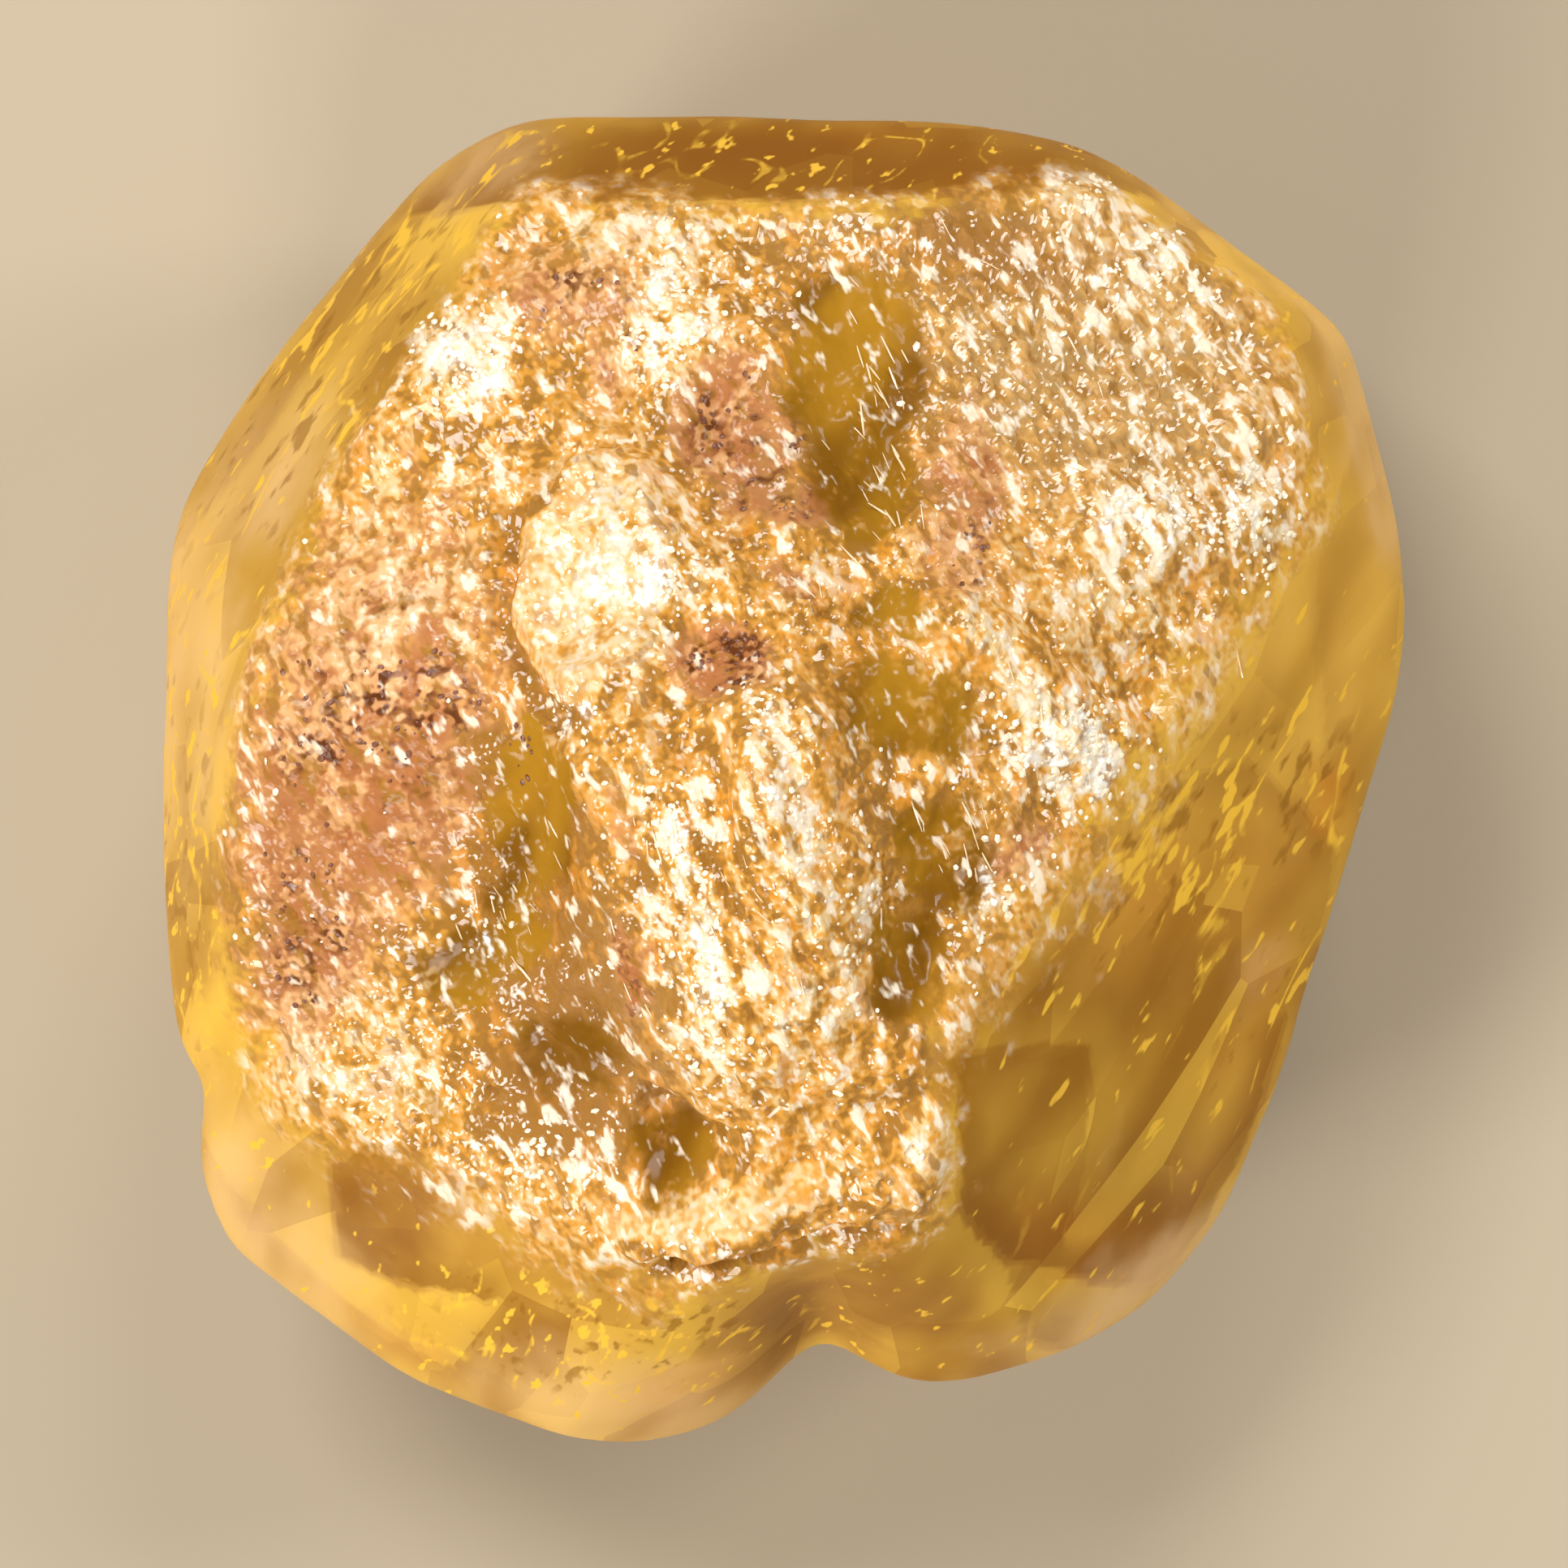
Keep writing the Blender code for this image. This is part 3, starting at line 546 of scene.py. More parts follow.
def writeSkin(crystal):
    # each vertex keeps how weathered, bleached, rusty, clear and sparkling it is, with painted light, shade
    # and glints among them
    mesh = crystal.data
    points = np.empty(len(mesh.vertices) * 3)
    mesh.vertices.foreach_get("co", points)
    points = points.reshape(-1, 3) / mm
    rays = points / np.linalg.norm(points, axis=1)[:, None]
    _, _, depth, relief, fine = skinAlong(rays)
    seed = crystalForm["seed"]
    mid, crumb = noiseAt(points, 0.8, seed + 80, 3), noiseAt(points, 0.30, seed + 84, 2)
    tiny = noiseAt(points, 0.14, seed + 85, 2)
    x = points[:, 0] + 0.35 * noiseAt(points, 1.0, seed + 81, 4)
    y = points[:, 1] + 0.35 * noiseAt(points, 1.0, seed + 82, 4)
    patch = {name: patchField(x, y, name, 0.75) for name in skinPatches}
    worn = smoothStep(-0.45, 0.25, depth + 0.30 * mid + 0.30 * crumb + 0.20 * tiny)
    raised, sunk = smoothStep(0.05, 0.45, relief), smoothStep(-0.05, -0.45, relief)
    peaks = np.clip(fine / 0.06, -1, 1)
    strands = strandsAt(points, seed)
    flake = noiseAt(combed(points, fineRelief["strandLean"], 1.8), 0.34, seed + 90, 3)
    # paler on raised relief and on peaks, darker in sunk relief: painted light and shade, laid over the real
    # bleaching of the crust
    bleach = 0.44 + 0.12 * raised - 0.22 * sunk + 0.18 * peaks + 0.22 * mid + 0.16 * crumb + 0.05 * tiny
    bleach += 0.40 * strands + 0.16 * np.clip(flake / 0.2, -1, 1)
    bleach += 0.45 * patch["cream"] - 0.26 * patch["shade"]
    # a shadow line under each step, and a smooth pale lip along the plates' rims
    wander = crystalForm["wander"]
    wx = points[:, 0] + wander * noiseAt(points, 1.3, seed)
    wy = points[:, 1] + wander * noiseAt(points, 1.3, seed + 7)
    lip, under = np.zeros(len(points)), np.zeros(len(points))
    for name, (line, *_) in crystalForm["steps"].items():
        away, _, side = nearLine(wx, wy, line)
        brink = side * away
        under = np.maximum(under, smoothStep(-0.34, -0.08, brink) * smoothStep(0.08, -0.04, brink))
        if name.startswith("edge"):
            lip = np.maximum(lip, smoothStep(-0.02, 0.08, brink) * smoothStep(0.60, 0.36, brink))
    bleach = bleach + lip * (0.70 + 0.10 * crumb - bleach) - 0.45 * under
    calm = np.maximum(lip, 0.7 * (1 - smoothStep(0.7, 1.1, ovalOut(wx, wy, *fineRelief["plateTop"]))))
    clear = smoothStep(0.35, 0.75, patch["window"] + 0.20 * sunk + 0.20 * mid + 0.12 * crumb - 0.3 * raised)
    rusty = smoothStep(0.15, 0.95, patch["rust"] + 0.30 * mid + 0.22 * crumb)
    dark = 0.6 + 0.4 * mid - 0.6 * crumb - 0.3 * tiny
    gap = fromTheEdge(rays) + 0.10 * mid
    crease = np.zeros(len(points))
    for line, darker, reach in bodyCreases:
        away, _, side = nearLine(points[:, 0] + 0.05 * mid, points[:, 1] + 0.05 * crumb, line)
        crease += darker * (2 * smoothStep(-0.06, 0.06, side * away) - 1) * (1 - smoothStep(0.1, reach, away))
    above = smoothStep(-3.5, 0.5, points[:, 2])  # the photograph tells nothing of what lies below the belt
    shards = 0.50 + 0.60 * flake + 0.3 * strands + 0.1 * tiny
    fields = {
        # nearness to a face's edge, for the painted glow there, and how far down each point lies
        "edge": 1 - smoothStep(0.0, 0.9, gap), "deep": smoothStep(2.0, -6.5, points[:, 2]),
        "weathered": worn, "bleach": np.clip(bleach, 0, 1), "window": worn * clear, "rust": worn * rusty,
        "darkRust": worn * smoothStep(0.25, 0.8, (0.4 * patch["rust"] + 0.6 * patch["darkSpots"]) * dark),
        "frost": worn * patch["frost"],
        # white crystal clusters, shown as painted glints
        "spark": worn * smoothStep(0.48, 0.62, patch["glitter"] * shards),
        "gold": worn * smoothStep(0.12, 0.24, flake * (0.7 + mid)) * (1 - 0.7 * patch["cream"]),
        # sugary white grains, brightened into painted glints
        "sugar": np.clip(0.15 + 0.35 * patch["frost"] + 0.55 * patch["glitter"] + 0.2 * patch["cream"]
                         + 0.9 * flake - 0.5 * patch["rust"] - 0.9 * clear - 0.4 * calm, 0, 1) * (1 - lip),
        "calm": calm,
        "glitter": worn * (0.02 + patch["glitter"] + 0.08 * raised) * (1 - 0.85 * clear) * (1 - 0.5 * rusty),
        "fibres": worn * smoothStep(0.2, 0.9, patch["fibres"] + 0.2 * mid) * (0.25 + 0.75 * clear),
        **{name: patch[name] * (0.2 + 0.8 * above) for name in ("olive", "rim", "brown", "amber", "tan")},
        "below": 1 - above,
        "veils": (1 - worn) * (0.05 + 0.95 * patch["veils"]) * smoothStep(-0.5, 0.2, mid) * above,
        "crease": 0.5 + 0.5 * np.clip(crease, -1, 1) * above,
    }
    for name, values in fields.items():
        layer = mesh.attributes.new(name, "FLOAT", "POINT")
        layer.data.foreach_set("value", values.astype(np.float32))
    rough = worn * (1 - clear)
    for face in mesh.polygons:
        face.use_smooth = bool(max(rough[i] for i in face.vertices) < 0.5)


# etched grossular: clear honey garnet, glassy and satin on its faces, its front corroded to a
# rough, half-opaque skin with iron stain. The eye sees amber depth at the sides, partly painted as light
# and shade, and a crusty, sparkling middle whose sparkle is partly painted glints.
grossularFinish = {
    # some colours here stand for light: the sugar and spark whites are partly painted glints, the face glow
    # is a painted glow, the deep and shade colours are partly painted shade, the rim colour is a painted rim
    # reflection and the veil colour paints light reflected by healed cracks
    "amberShade": "#A2702A", "honeySkin": "#D6963A", "paleSkin": "#E8C488", "creamCrust": "#EBD8BA",
    "frostSkin": "#C6A066", "orangeStain": "#DCA672", "rustStain": "#B06E3E", "darkRust": "#64361A",
    "goldSkin": "#DE922A", "sugarWhite": "#FBEBD0", "sparkWhite": "#FFFBF0",
    "oliveGlass": "#AC7A1A", "windowDark": "#7E520A",
    "faceHoney": "#F4BE50", "faceOlive": "#9A6000", "faceVeil": "#FFC840", "faceShade": "#9A640E",
    "faceAmber": "#DE8F26", "faceTan": "#DDA55C", "faceBrown": "#9A6226", "faceRim": "#F0C488",
    "faceDeep": "#8E5200", "faceGlow": "#FCC848",
    "ior": 1.74, "glazeRoughness": 0.12,
    "absorbColour": (0.97, 0.72, 0.0), "absorbDensity": 300.0,  # per metre
    "domain": 1.25 * mm, "domainContrast": 0.8,
}
# what the layers read: the crystal's attributes, and noise by its scale, detail and coordinates
skinMasks = (
    "weathered", "bleach", "window", "rust", "darkRust", "frost", "spark", "gold", "sugar", "calm",
    "edge", "deep", "olive", "rim", "brown", "amber", "tan", "below", "veils", "crease",
)
skinNoise = {
    "mottle": (900, 1, "slant"),  # clouds about 1 mm wide
    "dust": (8000, 0, "object"),  # 0.12 mm, as fine as the render can show
    "grit": (4600, 2, "lean"),  # 0.22 mm and finer: painted shade among the grains, and sugary white ones with painted glints, in clusters
    "streak": (4200, 2, "slant"),  # 0.24 mm wide, finer inside
}
# each joins two uses of a signal; a use is its name alone, with a factor, or with a soft step: where the
# step starts and ends, and the value at each end where it isn't 0 and 1
joinedSignals = (
    ("bleach", "ADD", ("bleach",), ("dust", 0.3, 0.7, -0.15, 0.15)),
    ("rusting", "ADD", ("bleach",), ("mottle", 0.3, 0.7, -0.22, 0.22)),
    ("sugared", "ADD", ("grit",), ("sugar", 0.15)),
    ("stained", "MAXIMUM", ("rust",), ("window",)),
    # painted light and shade on flat-sided domains and on creases deep in the glass
    ("lit", "MAXIMUM", ("domain", 0.55, 1.0, 0.0, 0.42), ("crease", 0.5, 0.1, 0.0, 0.7)),
    ("dim", "MAXIMUM", ("domain", 0.45, 0.0, 0.0, 0.42), ("crease", 0.5, 0.9, 0.0, 0.8)),
    # feathery healed cracks: thin bent lines, broken up into dots, among golden flecks; all painted as the
    # light the cracks reflect
    ("feather", "MULTIPLY", ("fromLine", 0.020, 0.004), ("streak", 0.40, 0.56)),
    ("feather", "MULTIPLY", ("feather",), ("veils", 0.1, 0.6)),
    ("thick", "ADD", ("streak",), ("veils", 0.11)),
    ("flecks", "MAXIMUM", ("feather",), ("thick", 0.665, 0.73)),
)
# the clean faces: soft clouds of olive and honey, and golden flecks that lean to the upper right, painted as
# light reflected from healed cracks
faceLayers = (
    ("faceHoney", ("mottle", 0.25, 0.75, 0.4, 1.0)),
    ("faceOlive", ("olive",), ("mottle", 0.3, 0.7, 1.0, 0.9)),
    ("faceAmber", ("amber",), ("mottle", 0.3, 0.6, 0.3, 0.8)),
    ("faceTan", ("tan",), ("mottle", 0.3, 0.6, 0.3, 0.8)),
    ("faceBrown", ("brown",), ("mottle", 0.3, 0.6, 0.6, 0.9)),
    # darker towards the bottom
    ("faceDeep", ("deep", 0.45)),
    # a painted glow near the edges of each face
    ("faceGlow", ("edge",), ("mottle", 0.3, 0.7, 0.15, 0.6)),
    # painted light on the lit domains and the light side of each crease, painted shade on the dim ones
    ("faceGlow", ("lit",)),
    ("faceDeep", ("dim",)),
    # a painted rim reflection along the outline
    ("faceRim", ("rim",), ("mottle", 0.3, 0.6, 0.4, 0.8)),
    ("faceShade", ("veils", 0.2, 0.9), ("streak", 0.46, 0.36, 0.0, 0.7)),
    ("faceVeil", ("flecks",)),
)
# the weathered front runs from amber in its hollows to bleached cream on its knobs, partly as painted shade
# in the hollows and painted light on the knobs
crustLayers = (
    ("honeySkin", ("bleach", 0.10, 0.45)),
    ("paleSkin", ("bleach", 0.40, 0.75)),
    ("creamCrust", ("bleach", 0.70, 1.00)),
    ("goldSkin", ("gold", 0.75)),
    ("frostSkin", ("frost", 0.6)),
    ("faceBrown", ("brown", 0.85)),
    ("orangeStain", ("rust",), ("bleach", 1.0, 0.6, 0.1, 0.9)),
    ("rustStain", ("rust",), ("rusting", 0.75, 0.25, 0.0, 0.95)),
    ("amberShade", ("grit", 0.46, 0.34, 0.0, 0.8), ("calm", 0.0, 1.0, 1.0, 0.3)),
    ("darkRust", ("darkRust",), ("dust", 0.60, 0.40)),
)
# white specks of sugary grains and white crystal clusters, both brightened into painted glints
grainLayers = (
    ("sugarWhite", ("sugared", 0.60, 0.73, 0.0, 0.9)),
    ("sparkWhite", ("spark",), ("dust", 0.40, 0.60, 0.1, 0.95)),
)
# value and layers on the clean faces, and then on the weathered front
sheen = {
    "Roughness": ((0.05, ((0.15, ("mottle", 0.3, 0.7)),)), (0.45, ((0.28, ("window",)),))),
    "Transmission Weight": ((0.12, ((0.16, ("olive",)), (0.22, ("below",)))),
                            (0.0, ((0.06, ("window",)), (0.0, ("rust",))))),
    "Coat Weight": ((0.10, ((0.80, ("below",)),)),
                    (0.55, ((0.65, ("frost",)), (0.10, ("stained",)), (1.0, ("spark",))))),
}


def useOf(tree, signals, use):
    name, *how = use
    if len(how) > 1:
        low, high, first, last = (*how, 0.0, 1.0)[:4]
        return addNode(tree, "ShaderNodeMapRange", {
            "Value": signals[name], "From Min": low, "From Max": high, "To Min": first, "To Max": last},
            interpolation_type="SMOOTHSTEP").outputs["Result"]
    if how:
        return addNode(tree, "ShaderNodeMath", {0: signals[name], 1: how[0]}, operation="MULTIPLY").outputs[0]
    return signals[name]


def layered(tree, signals, start, layers):
    # lays colours or values over the start, each as strongly as the product of its signals
    for over, *uses in layers:
        share = useOf(tree, signals, uses[0])
        for use in uses[1:]:
            share = addNode(tree, "ShaderNodeMath", {0: share, 1: useOf(tree, signals, use)},
                            operation="MULTIPLY").outputs[0]
        pair = [hexColour(grossularFinish[c]) if isinstance(c, str) else c for c in (start, over)]
        if isinstance(over, str) or getattr(over, "type", "VALUE") == "RGBA":
            start = addNode(tree, "ShaderNodeMix", {0: share, 6: pair[0], 7: pair[1]},
                            data_type="RGBA").outputs[2]
        else:
            start = addNode(tree, "ShaderNodeMix", {0: share, 2: pair[0], 3: pair[1]},
                            data_type="FLOAT").outputs[0]
    return start


def skinSignals(tree):
    look = grossularFinish
    place = {"object": addNode(tree, "ShaderNodeTexCoord").outputs["Object"]}
    for name, turn, stretch in (("slant", 1.0, (3.2, 1.0, 2.2)), ("lean", -1.05, (2.0, 1.0, 1.5))):
        place[name] = addNode(tree, "ShaderNodeMapping", {
            "Vector": place["object"], "Rotation": (0.0, 0.0, turn), "Scale": stretch},
            vector_type="TEXTURE").outputs[0]
    signals = {}
    for name in skinMasks:
        signals[name] = addNode(tree, "ShaderNodeAttribute", attribute_name=name).outputs["Fac"]
    for name, (scale, detail, where) in skinNoise.items():
        signals[name] = addNode(tree, "ShaderNodeTexNoise", {
            "Vector": place[where], "Scale": scale, "Detail": detail}).outputs["Fac"]
    moved = addNode(tree, "ShaderNodeVectorMath",
                    {0: place["slant"], 1: (0.5 * mm,) * 3}, operation="ADD").outputs[0]
    cells = addNode(tree, "ShaderNodeTexVoronoi", {"Vector": moved, "Scale": 1 / look["domain"]})
    shade = addNode(tree, "ShaderNodeSeparateColor", {"Color": cells.outputs["Color"]}).outputs["Red"]
    signals["domain"] = layered(tree, signals, shade, [(0.5, ("below", look["domainContrast"]))])
    off = addNode(tree, "ShaderNodeMath", {0: signals["mottle"], 1: 0.5}, operation="SUBTRACT").outputs[0]
    signals["fromLine"] = addNode(tree, "ShaderNodeMath", {0: off}, operation="ABSOLUTE").outputs[0]
    for name, operation, first, second in joinedSignals:
        signals[name] = addNode(tree, "ShaderNodeMath", {
            0: useOf(tree, signals, first), 1: useOf(tree, signals, second)}, operation=operation).outputs[0]
    return signals


def grossularMaterial():
    look = grossularFinish
    material = bpy.data.materials.new("etchedGrossular")
    material.use_nodes = True
    tree = material.node_tree
    tree.nodes.clear()
    output = addNode(tree, "ShaderNodeOutputMaterial")
    signals = skinSignals(tree)
    face = layered(tree, signals, "faceOlive", faceLayers)
    glass = layered(tree, signals, "windowDark", [("oliveGlass", ("mottle", 0.35, 0.65))])
    skin = layered(tree, signals, "amberShade", crustLayers)
    skin = layered(tree, signals, skin, [(glass, ("window",), ("bleach", 0.9, 0.35, 0.4, 0.95))])
    skin = layered(tree, signals, skin, grainLayers)
    surface = {"Base Color": layered(tree, signals, face, [(skin, ("weathered",))])}
    for socket, ends in sheen.items():
        onFaces, onFront = (layered(tree, signals, *end) for end in ends)
        surface[socket] = layered(tree, signals, onFaces, [(onFront, ("weathered",))])
    shader = addNode(tree, "ShaderNodeBsdfPrincipled", {
        **surface, "IOR": look["ior"], "Specular IOR Level": 0.0, "Coat Roughness": look["glazeRoughness"],
        "Coat IOR": look["ior"]})
    tree.links.new(shader.outputs[0], output.inputs["Surface"])
    depth = addNode(tree, "ShaderNodeVolumeAbsorption", {
        "Color": (*look["absorbColour"], 1), "Density": look["absorbDensity"]})
    tree.links.new(depth.outputs[0], output.inputs["Volume"])
    return material


# the small bodies that grew or caught on the front; Geometry Nodes scatter them over a copy of the crystal
def grainMaterial(name, colour, roughness, tintTo, gloss=0.5):
    material = bpy.data.materials.new(name)
    material.use_nodes = True
    tree = material.node_tree
    place = addNode(tree, "ShaderNodeTexCoord").outputs["Object"]
    tone = addNode(tree, "ShaderNodeTexNoise",
                   {"Vector": place, "Scale": 2200.0, "Detail": 1.0}).outputs["Fac"]  # 0.45 mm
    mix = addNode(tree, "ShaderNodeMix", {0: tone, 6: hexColour(colour), 7: hexColour(tintTo)},
                  data_type="RGBA")
    shader = tree.nodes["Principled BSDF"]
    tree.links.new(mix.outputs[2], shader.inputs["Base Color"])
    shader.inputs["Roughness"].default_value = roughness
    shader.inputs["IOR"].default_value = grossularFinish["ior"]
    shader.inputs["Specular IOR Level"].default_value = gloss
    return material


def scatterTree(name, facets):
    # seeds small faceted bodies on a surface; `thick` picks where, by one of its attributes
    tree = bpy.data.node_groups.new(name, "GeometryNodeTree")
    for label, kind in (("Surface", "NodeSocketGeometry"), ("Thick", "NodeSocketString"),
                        ("Per Square Metre", "NodeSocketFloat"), ("Smallest", "NodeSocketFloat"),
                        ("Largest", "NodeSocketFloat"), ("Flattest", "NodeSocketVector"),
                        ("Longest", "NodeSocketVector"), ("Lift", "NodeSocketFloat"),
                        ("Combed Along", "NodeSocketVector"), ("Tumble", "NodeSocketVector"),
                        ("Seed", "NodeSocketInt"),
                        ("Finish", "NodeSocketMaterial")):
        tree.interface.new_socket(label, in_out="INPUT", socket_type=kind)
    tree.interface.new_socket("Grown", in_out="OUTPUT", socket_type="NodeSocketGeometry")
    given = addNode(tree, "NodeGroupInput").outputs
    where = addNode(tree, "GeometryNodeInputNamedAttribute", {"Name": given["Thick"]}, data_type="FLOAT")
    density = addNode(tree, "ShaderNodeMath", {0: where.outputs["Attribute"], 1: given["Per Square Metre"]},
                      operation="MULTIPLY")
    seeds = addNode(tree, "GeometryNodeDistributePointsOnFaces",
                    {"Mesh": given["Surface"], "Density": density.outputs[0], "Seed": given["Seed"]})
    raised = addNode(tree, "ShaderNodeVectorMath", {0: seeds.outputs["Normal"], "Scale": given["Lift"]},
                     operation="SCALE")
    placed = addNode(tree, "GeometryNodeSetPosition",
                     {"Geometry": seeds.outputs["Points"], "Offset": raised.outputs[0]})
    size = addNode(tree, "FunctionNodeRandomValue", {"Min": given["Smallest"], "Max": given["Largest"],
                                                     "Seed": given["Seed"]}, data_type="FLOAT")
    size = [o for o in size.outputs if o.enabled][0]
    shape = addNode(tree, "FunctionNodeRandomValue", {"Seed": given["Seed"]}, data_type="FLOAT_VECTOR")
    tree.links.new(given["Flattest"], shape.inputs[0])
    tree.links.new(given["Longest"], shape.inputs[1])
    whole = addNode(tree, "ShaderNodeVectorMath", {0: shape.outputs[0], "Scale": size}, operation="SCALE")
    combing = addNode(tree, "FunctionNodeAlignRotationToVector", {
        "Rotation": seeds.outputs["Rotation"], "Vector": given["Combed Along"]}, axis="Y", pivot_axis="Z")
    least = addNode(tree, "ShaderNodeVectorMath", {0: given["Tumble"], "Scale": -1.0}, operation="SCALE")
    turn = addNode(tree, "FunctionNodeRandomValue", {"Seed": given["Seed"]}, data_type="FLOAT_VECTOR")
    tree.links.new(least.outputs[0], turn.inputs[0])
    tree.links.new(given["Tumble"], turn.inputs[1])
    spin = addNode(tree, "FunctionNodeRotateRotation",
                   {"Rotation": combing.outputs[0]}, rotation_space="LOCAL")
    tree.links.new(turn.outputs[0], spin.inputs[1])
    body = addNode(tree, "GeometryNodeMeshIcoSphere", {"Radius": 0.5, "Subdivisions": facets})
    copies = addNode(tree, "GeometryNodeInstanceOnPoints", {
        "Points": placed.outputs[0], "Instance": body.outputs["Mesh"], "Rotation": spin.outputs[0],
        "Scale": whole.outputs[0]})
    solid = addNode(tree, "GeometryNodeRealizeInstances", {"Geometry": copies.outputs[0]})
    finished = addNode(tree, "GeometryNodeSetMaterial",
                       {"Geometry": solid.outputs[0], "Material": given["Finish"]})
    addNode(tree, "NodeGroupOutput", {"Grown": finished.outputs[0]})
    return tree


def scatter(name, host, values, facets=1):
    piece = bpy.data.objects.new(name, host.data.copy())
    bpy.context.scene.collection.objects.link(piece)
    grow = piece.modifiers.new("grow", "NODES")
    grow.node_group = scatterTree(name, facets)
    for socket in grow.node_group.interface.items_tree:
        if socket.in_out == "INPUT" and socket.name in values:
            grow[socket.identifier] = values[socket.name]
    depsgraph = bpy.context.evaluated_depsgraph_get()
    mesh = bpy.data.meshes.new_from_object(piece.evaluated_get(depsgraph))
    piece.modifiers.clear()
    piece.data = mesh
    mesh.name = name
    say(f"{name}, {len(mesh.polygons)} faces")
    return piece


# bright broken grains that throw the white sparks
glitter = {
    "Thick": "glitter", "Per Square Metre": 40e6, "Smallest": 0.05 * mm, "Largest": 0.14 * mm,
    "Flattest": (0.7, 0.6, 0.4), "Longest": (1.1, 1.6, 0.7), "Lift": 0.0, "Tumble": (0.5, 0.5, 3.14),
    "Seed": 11, "Combed Along": (0.0, 1.0, 0.0),
}
# hair-fine splinters that lie along the ribs and across the clear hollows
fibres = {
    "Thick": "fibres", "Per Square Metre": 9e6, "Smallest": 0.20 * mm, "Largest": 0.55 * mm,
    "Flattest": (0.05, 0.7, 0.05), "Longest": (0.09, 1.4, 0.07), "Lift": 0.01 * mm,
    "Tumble": (0.20, 0.1, 0.35), "Seed": 31, "Combed Along": (-0.45, 1.0, 0.0),
}
# iron-stained specks in the pits of the rust
specks = {
    "Thick": "darkRust", "Per Square Metre": 24e6, "Smallest": 0.04 * mm, "Largest": 0.11 * mm,
    "Flattest": (0.7, 0.7, 0.5), "Longest": (1.3, 1.6, 0.7), "Lift": 0.0, "Tumble": (0.5, 0.5, 3.14),
    "Seed": 23, "Combed Along": (0.0, 1.0, 0.0),
}
# flakes of healed fracture inside the clear body, as golden streaks behind the faces
veilFlakes = {
    "Thick": "veils", "Per Square Metre": 3.0e6, "Smallest": 0.12 * mm, "Largest": 0.45 * mm,
    "Flattest": (0.3, 0.8, 0.06), "Longest": (0.6, 2.0, 0.12), "Lift": -0.25 * mm, "Tumble": (0.4, 0.4, 0.3),
    "Seed": 5, "Combed Along": (0.55, 0.85, 0.0),
}


def growOnFront(host):
    # glints white, body cream
    spark = grainMaterial("clearGarnetSplinters", "#FFF8E8", 0.22, "#F3DDB0", 0.6)
    stain = grainMaterial("limoniteSpecks", "#5E2E16", 0.45, "#8A4A22")  # dull dark brown dots
    gold = grainMaterial("healedFractures", "#FFCB45", 0.25, "#E8A52A")  # pale gold films that light up
    hair = grainMaterial("garnetFibres", "#FFF1D2", 0.25, "#E9BE76", 0.7)  # fine bright lines of silk
    return [scatter("glitterGrains", host, {**glitter, "Finish": spark}),
            scatter("silkFibres", host, {**fibres, "Finish": hair}),
            scatter("goldenVeils", host, {**veilFlakes, "Finish": gold}),
            scatter("rustSpecks", host, {**specks, "Finish": stain})]


# the table, lights and camera
studio = {
    "floorSize": 0.6, "floorColour": "#B5A68E", "worldStrength": 0.20,
    # name: azimuth, climb, distance, size, watts, colour
    "lamps": {
        "key": (125, 56, 0.30, 0.11, 0.50, "#FFFFFF"),
        "right fill": (20, 38, 0.30, 0.08, 0.30, "#FFFFFF"),
        "lower fill": (258, 36, 0.30, 0.08, 0.34, "#FFFFFF"),
        "left fill": (212, 34, 0.30, 0.09, 0.47, "#FFFFFF"),
        "top fill": (80, 38, 0.30, 0.07, 0.22, "#FFFFFF"),
    },
    "cameraAway": 150 * mm, "frameWidth": 1932 * photoPixel, "frameDrop": 3 * photoPixel,
}


def makeFloor():
    bm = bmesh.new()
    bmesh.ops.create_grid(bm, x_segments=4, y_segments=4, size=studio["floorSize"] / 2)
    bmesh.ops.translate(bm, verts=bm.verts, vec=(0, 0, -0.01 * mm))
    mesh = bpy.data.meshes.new("paleTable")
    bm.to_mesh(mesh)
    bm.free()
    floor = bpy.data.objects.new("paleTable", mesh)
    bpy.context.scene.collection.objects.link(floor)
    material = bpy.data.materials.new("mattPaleBoard")
    material.use_nodes = True
    shader = material.node_tree.nodes["Principled BSDF"]
    shader.inputs["Base Color"].default_value = hexColour(studio["floorColour"])
    shader.inputs["Specular IOR Level"].default_value = 0.0  # quite matt
    mesh.materials.append(material)


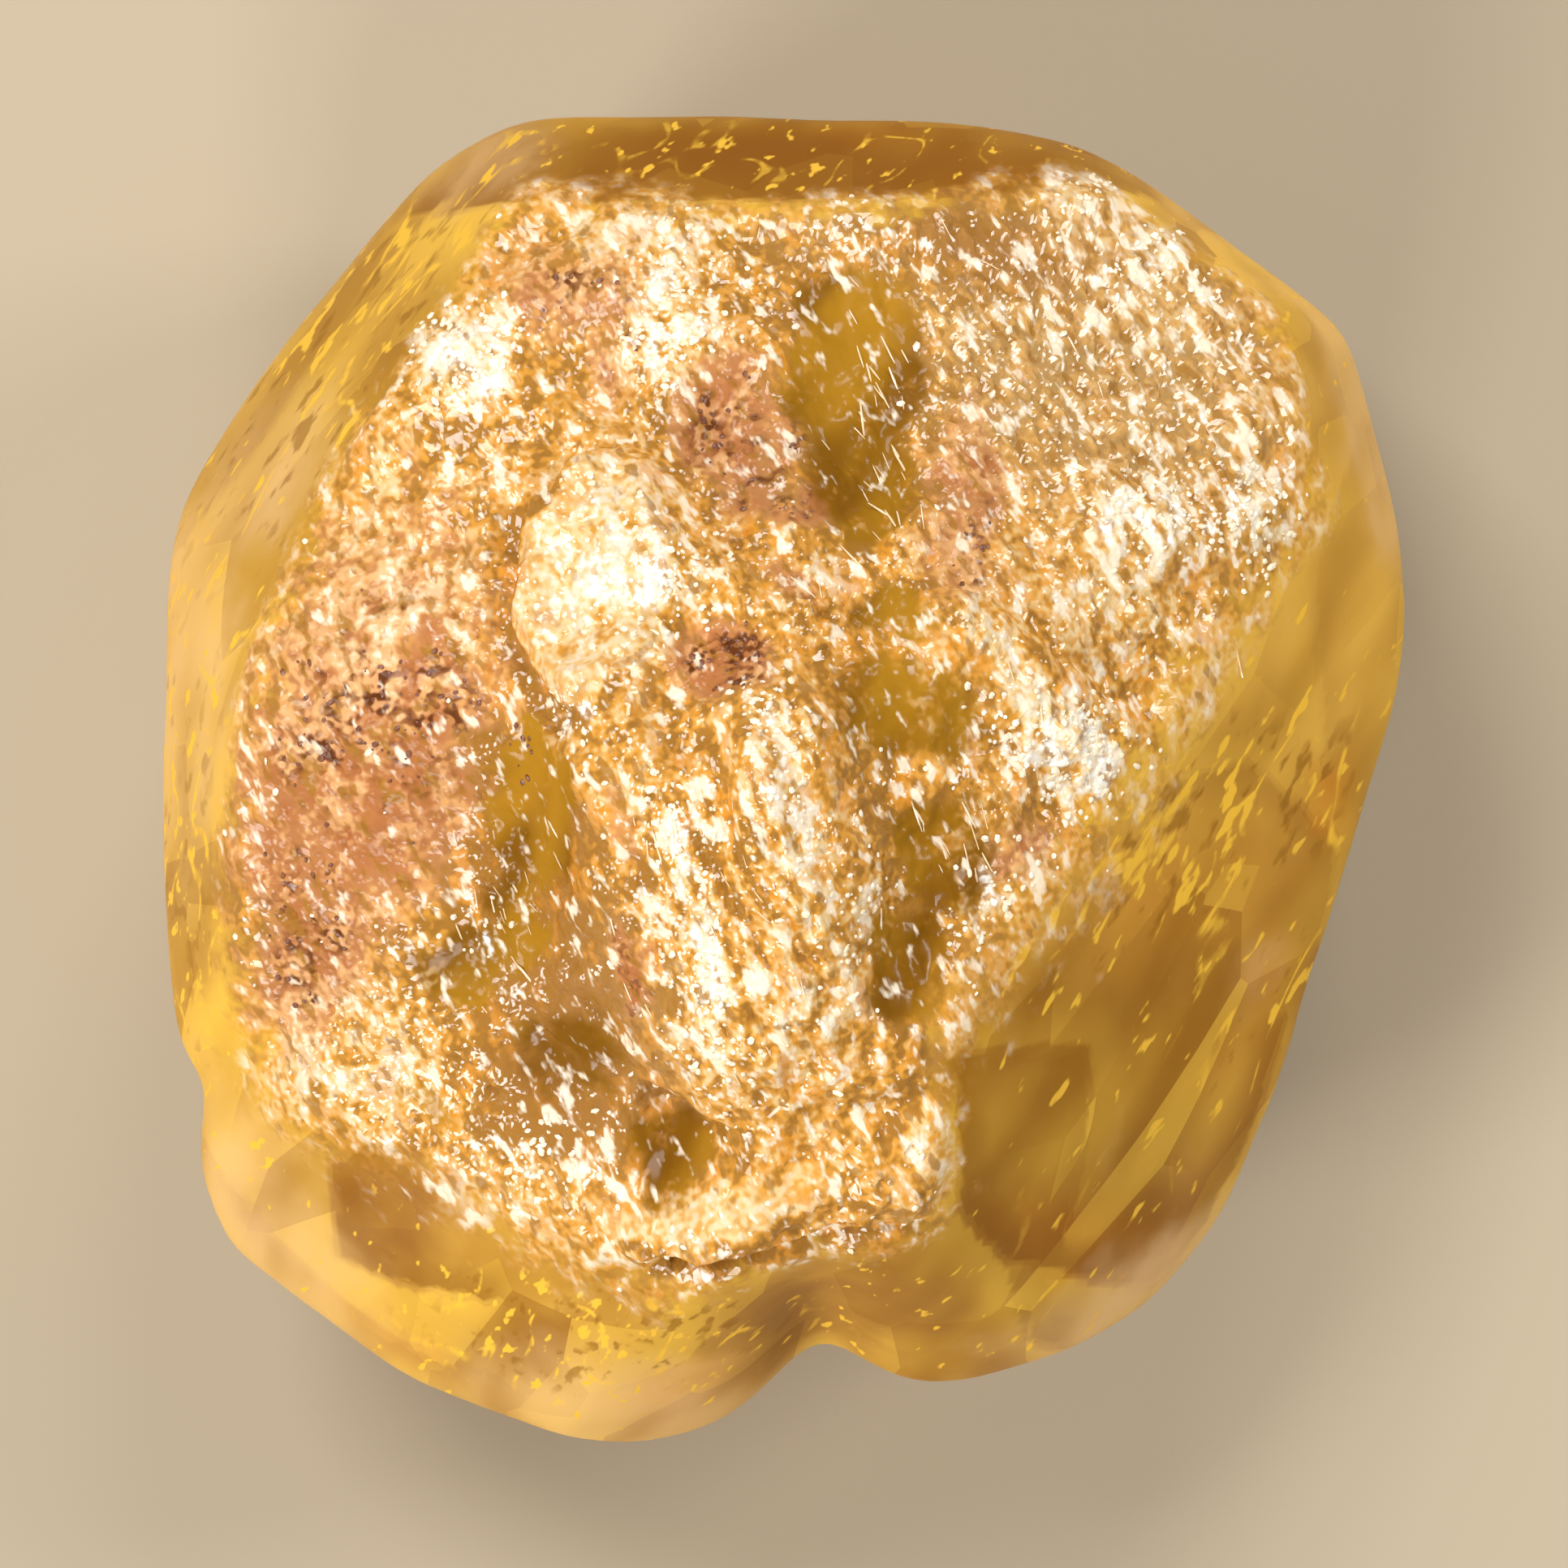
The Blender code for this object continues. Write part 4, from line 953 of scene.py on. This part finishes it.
def makeLights(target):
    world = bpy.data.worlds.new("softRoom")
    bpy.context.scene.world = world
    world.use_nodes = True
    back = world.node_tree.nodes["Background"]
    back.inputs["Color"].default_value = hexColour("#F3F1EE")
    back.inputs["Strength"].default_value = studio["worldStrength"]
    for name, (azimuth, climb, away, size, power, colour) in studio["lamps"].items():
        lamp = bpy.data.lights.new(name, "AREA")
        lamp.size = size
        lamp.energy = power
        lamp.color = hexColour(colour)[:3]
        holder = bpy.data.objects.new(name, lamp)
        bpy.context.scene.collection.objects.link(holder)
        aim = Vector(facing(azimuth, climb))
        holder.location = target + aim * away
        holder.rotation_euler = aim.to_track_quat("Z", "Y").to_euler()


def makeCamera(target):
    camera = bpy.data.cameras.new("overhead")
    camera.sensor_width = 36
    camera.lens = 36 * studio["cameraAway"] / studio["frameWidth"]
    camera.clip_start, camera.clip_end = 0.001, 5
    holder = bpy.data.objects.new("overhead", camera)
    bpy.context.scene.collection.objects.link(holder)
    holder.location = target + Vector((0, -studio["frameDrop"], studio["cameraAway"]))
    bpy.context.scene.camera = holder


def fitToSolid(parts):
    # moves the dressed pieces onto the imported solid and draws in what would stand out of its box
    spots = []
    for part in parts:
        flat = np.empty(len(part.data.vertices) * 3)
        part.data.vertices.foreach_get("co", flat)
        spots.append(flat.reshape(-1, 3))
    everything = np.vstack(spots)
    low, high = everything.min(axis=0), everything.max(axis=0)
    cadLow, cadHigh = np.array(cadBox[0]), np.array(cadBox[1])
    share = (cadHigh - cadLow) / (high - low)
    say("drawn in by " + ", ".join(f"{s:.4f}" for s in share))
    for part, spot in zip(parts, spots):
        part.data.vertices.foreach_set("co", ((spot - low) * share + cadLow).ravel())
        part.data.update()


crystal = makeCrystal()
writeSkin(crystal)
crystal.data.materials.append(grossularMaterial())
say("skin written")
pieces = [crystal] + growOnFront(crystal)
fitToSolid(pieces)
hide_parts("garnet_crystal")
for piece in pieces:
    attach(piece, "root")

belt = Vector((0, 0, crystalForm["beltHeight"] * mm))
makeFloor()
makeLights(belt)
makeCamera(belt)
bpy.context.scene.view_settings.view_transform = "Standard"
say("stage set")

bpy.context.scene.cycles.max_bounces = 4  # deeper ones add no light that shows
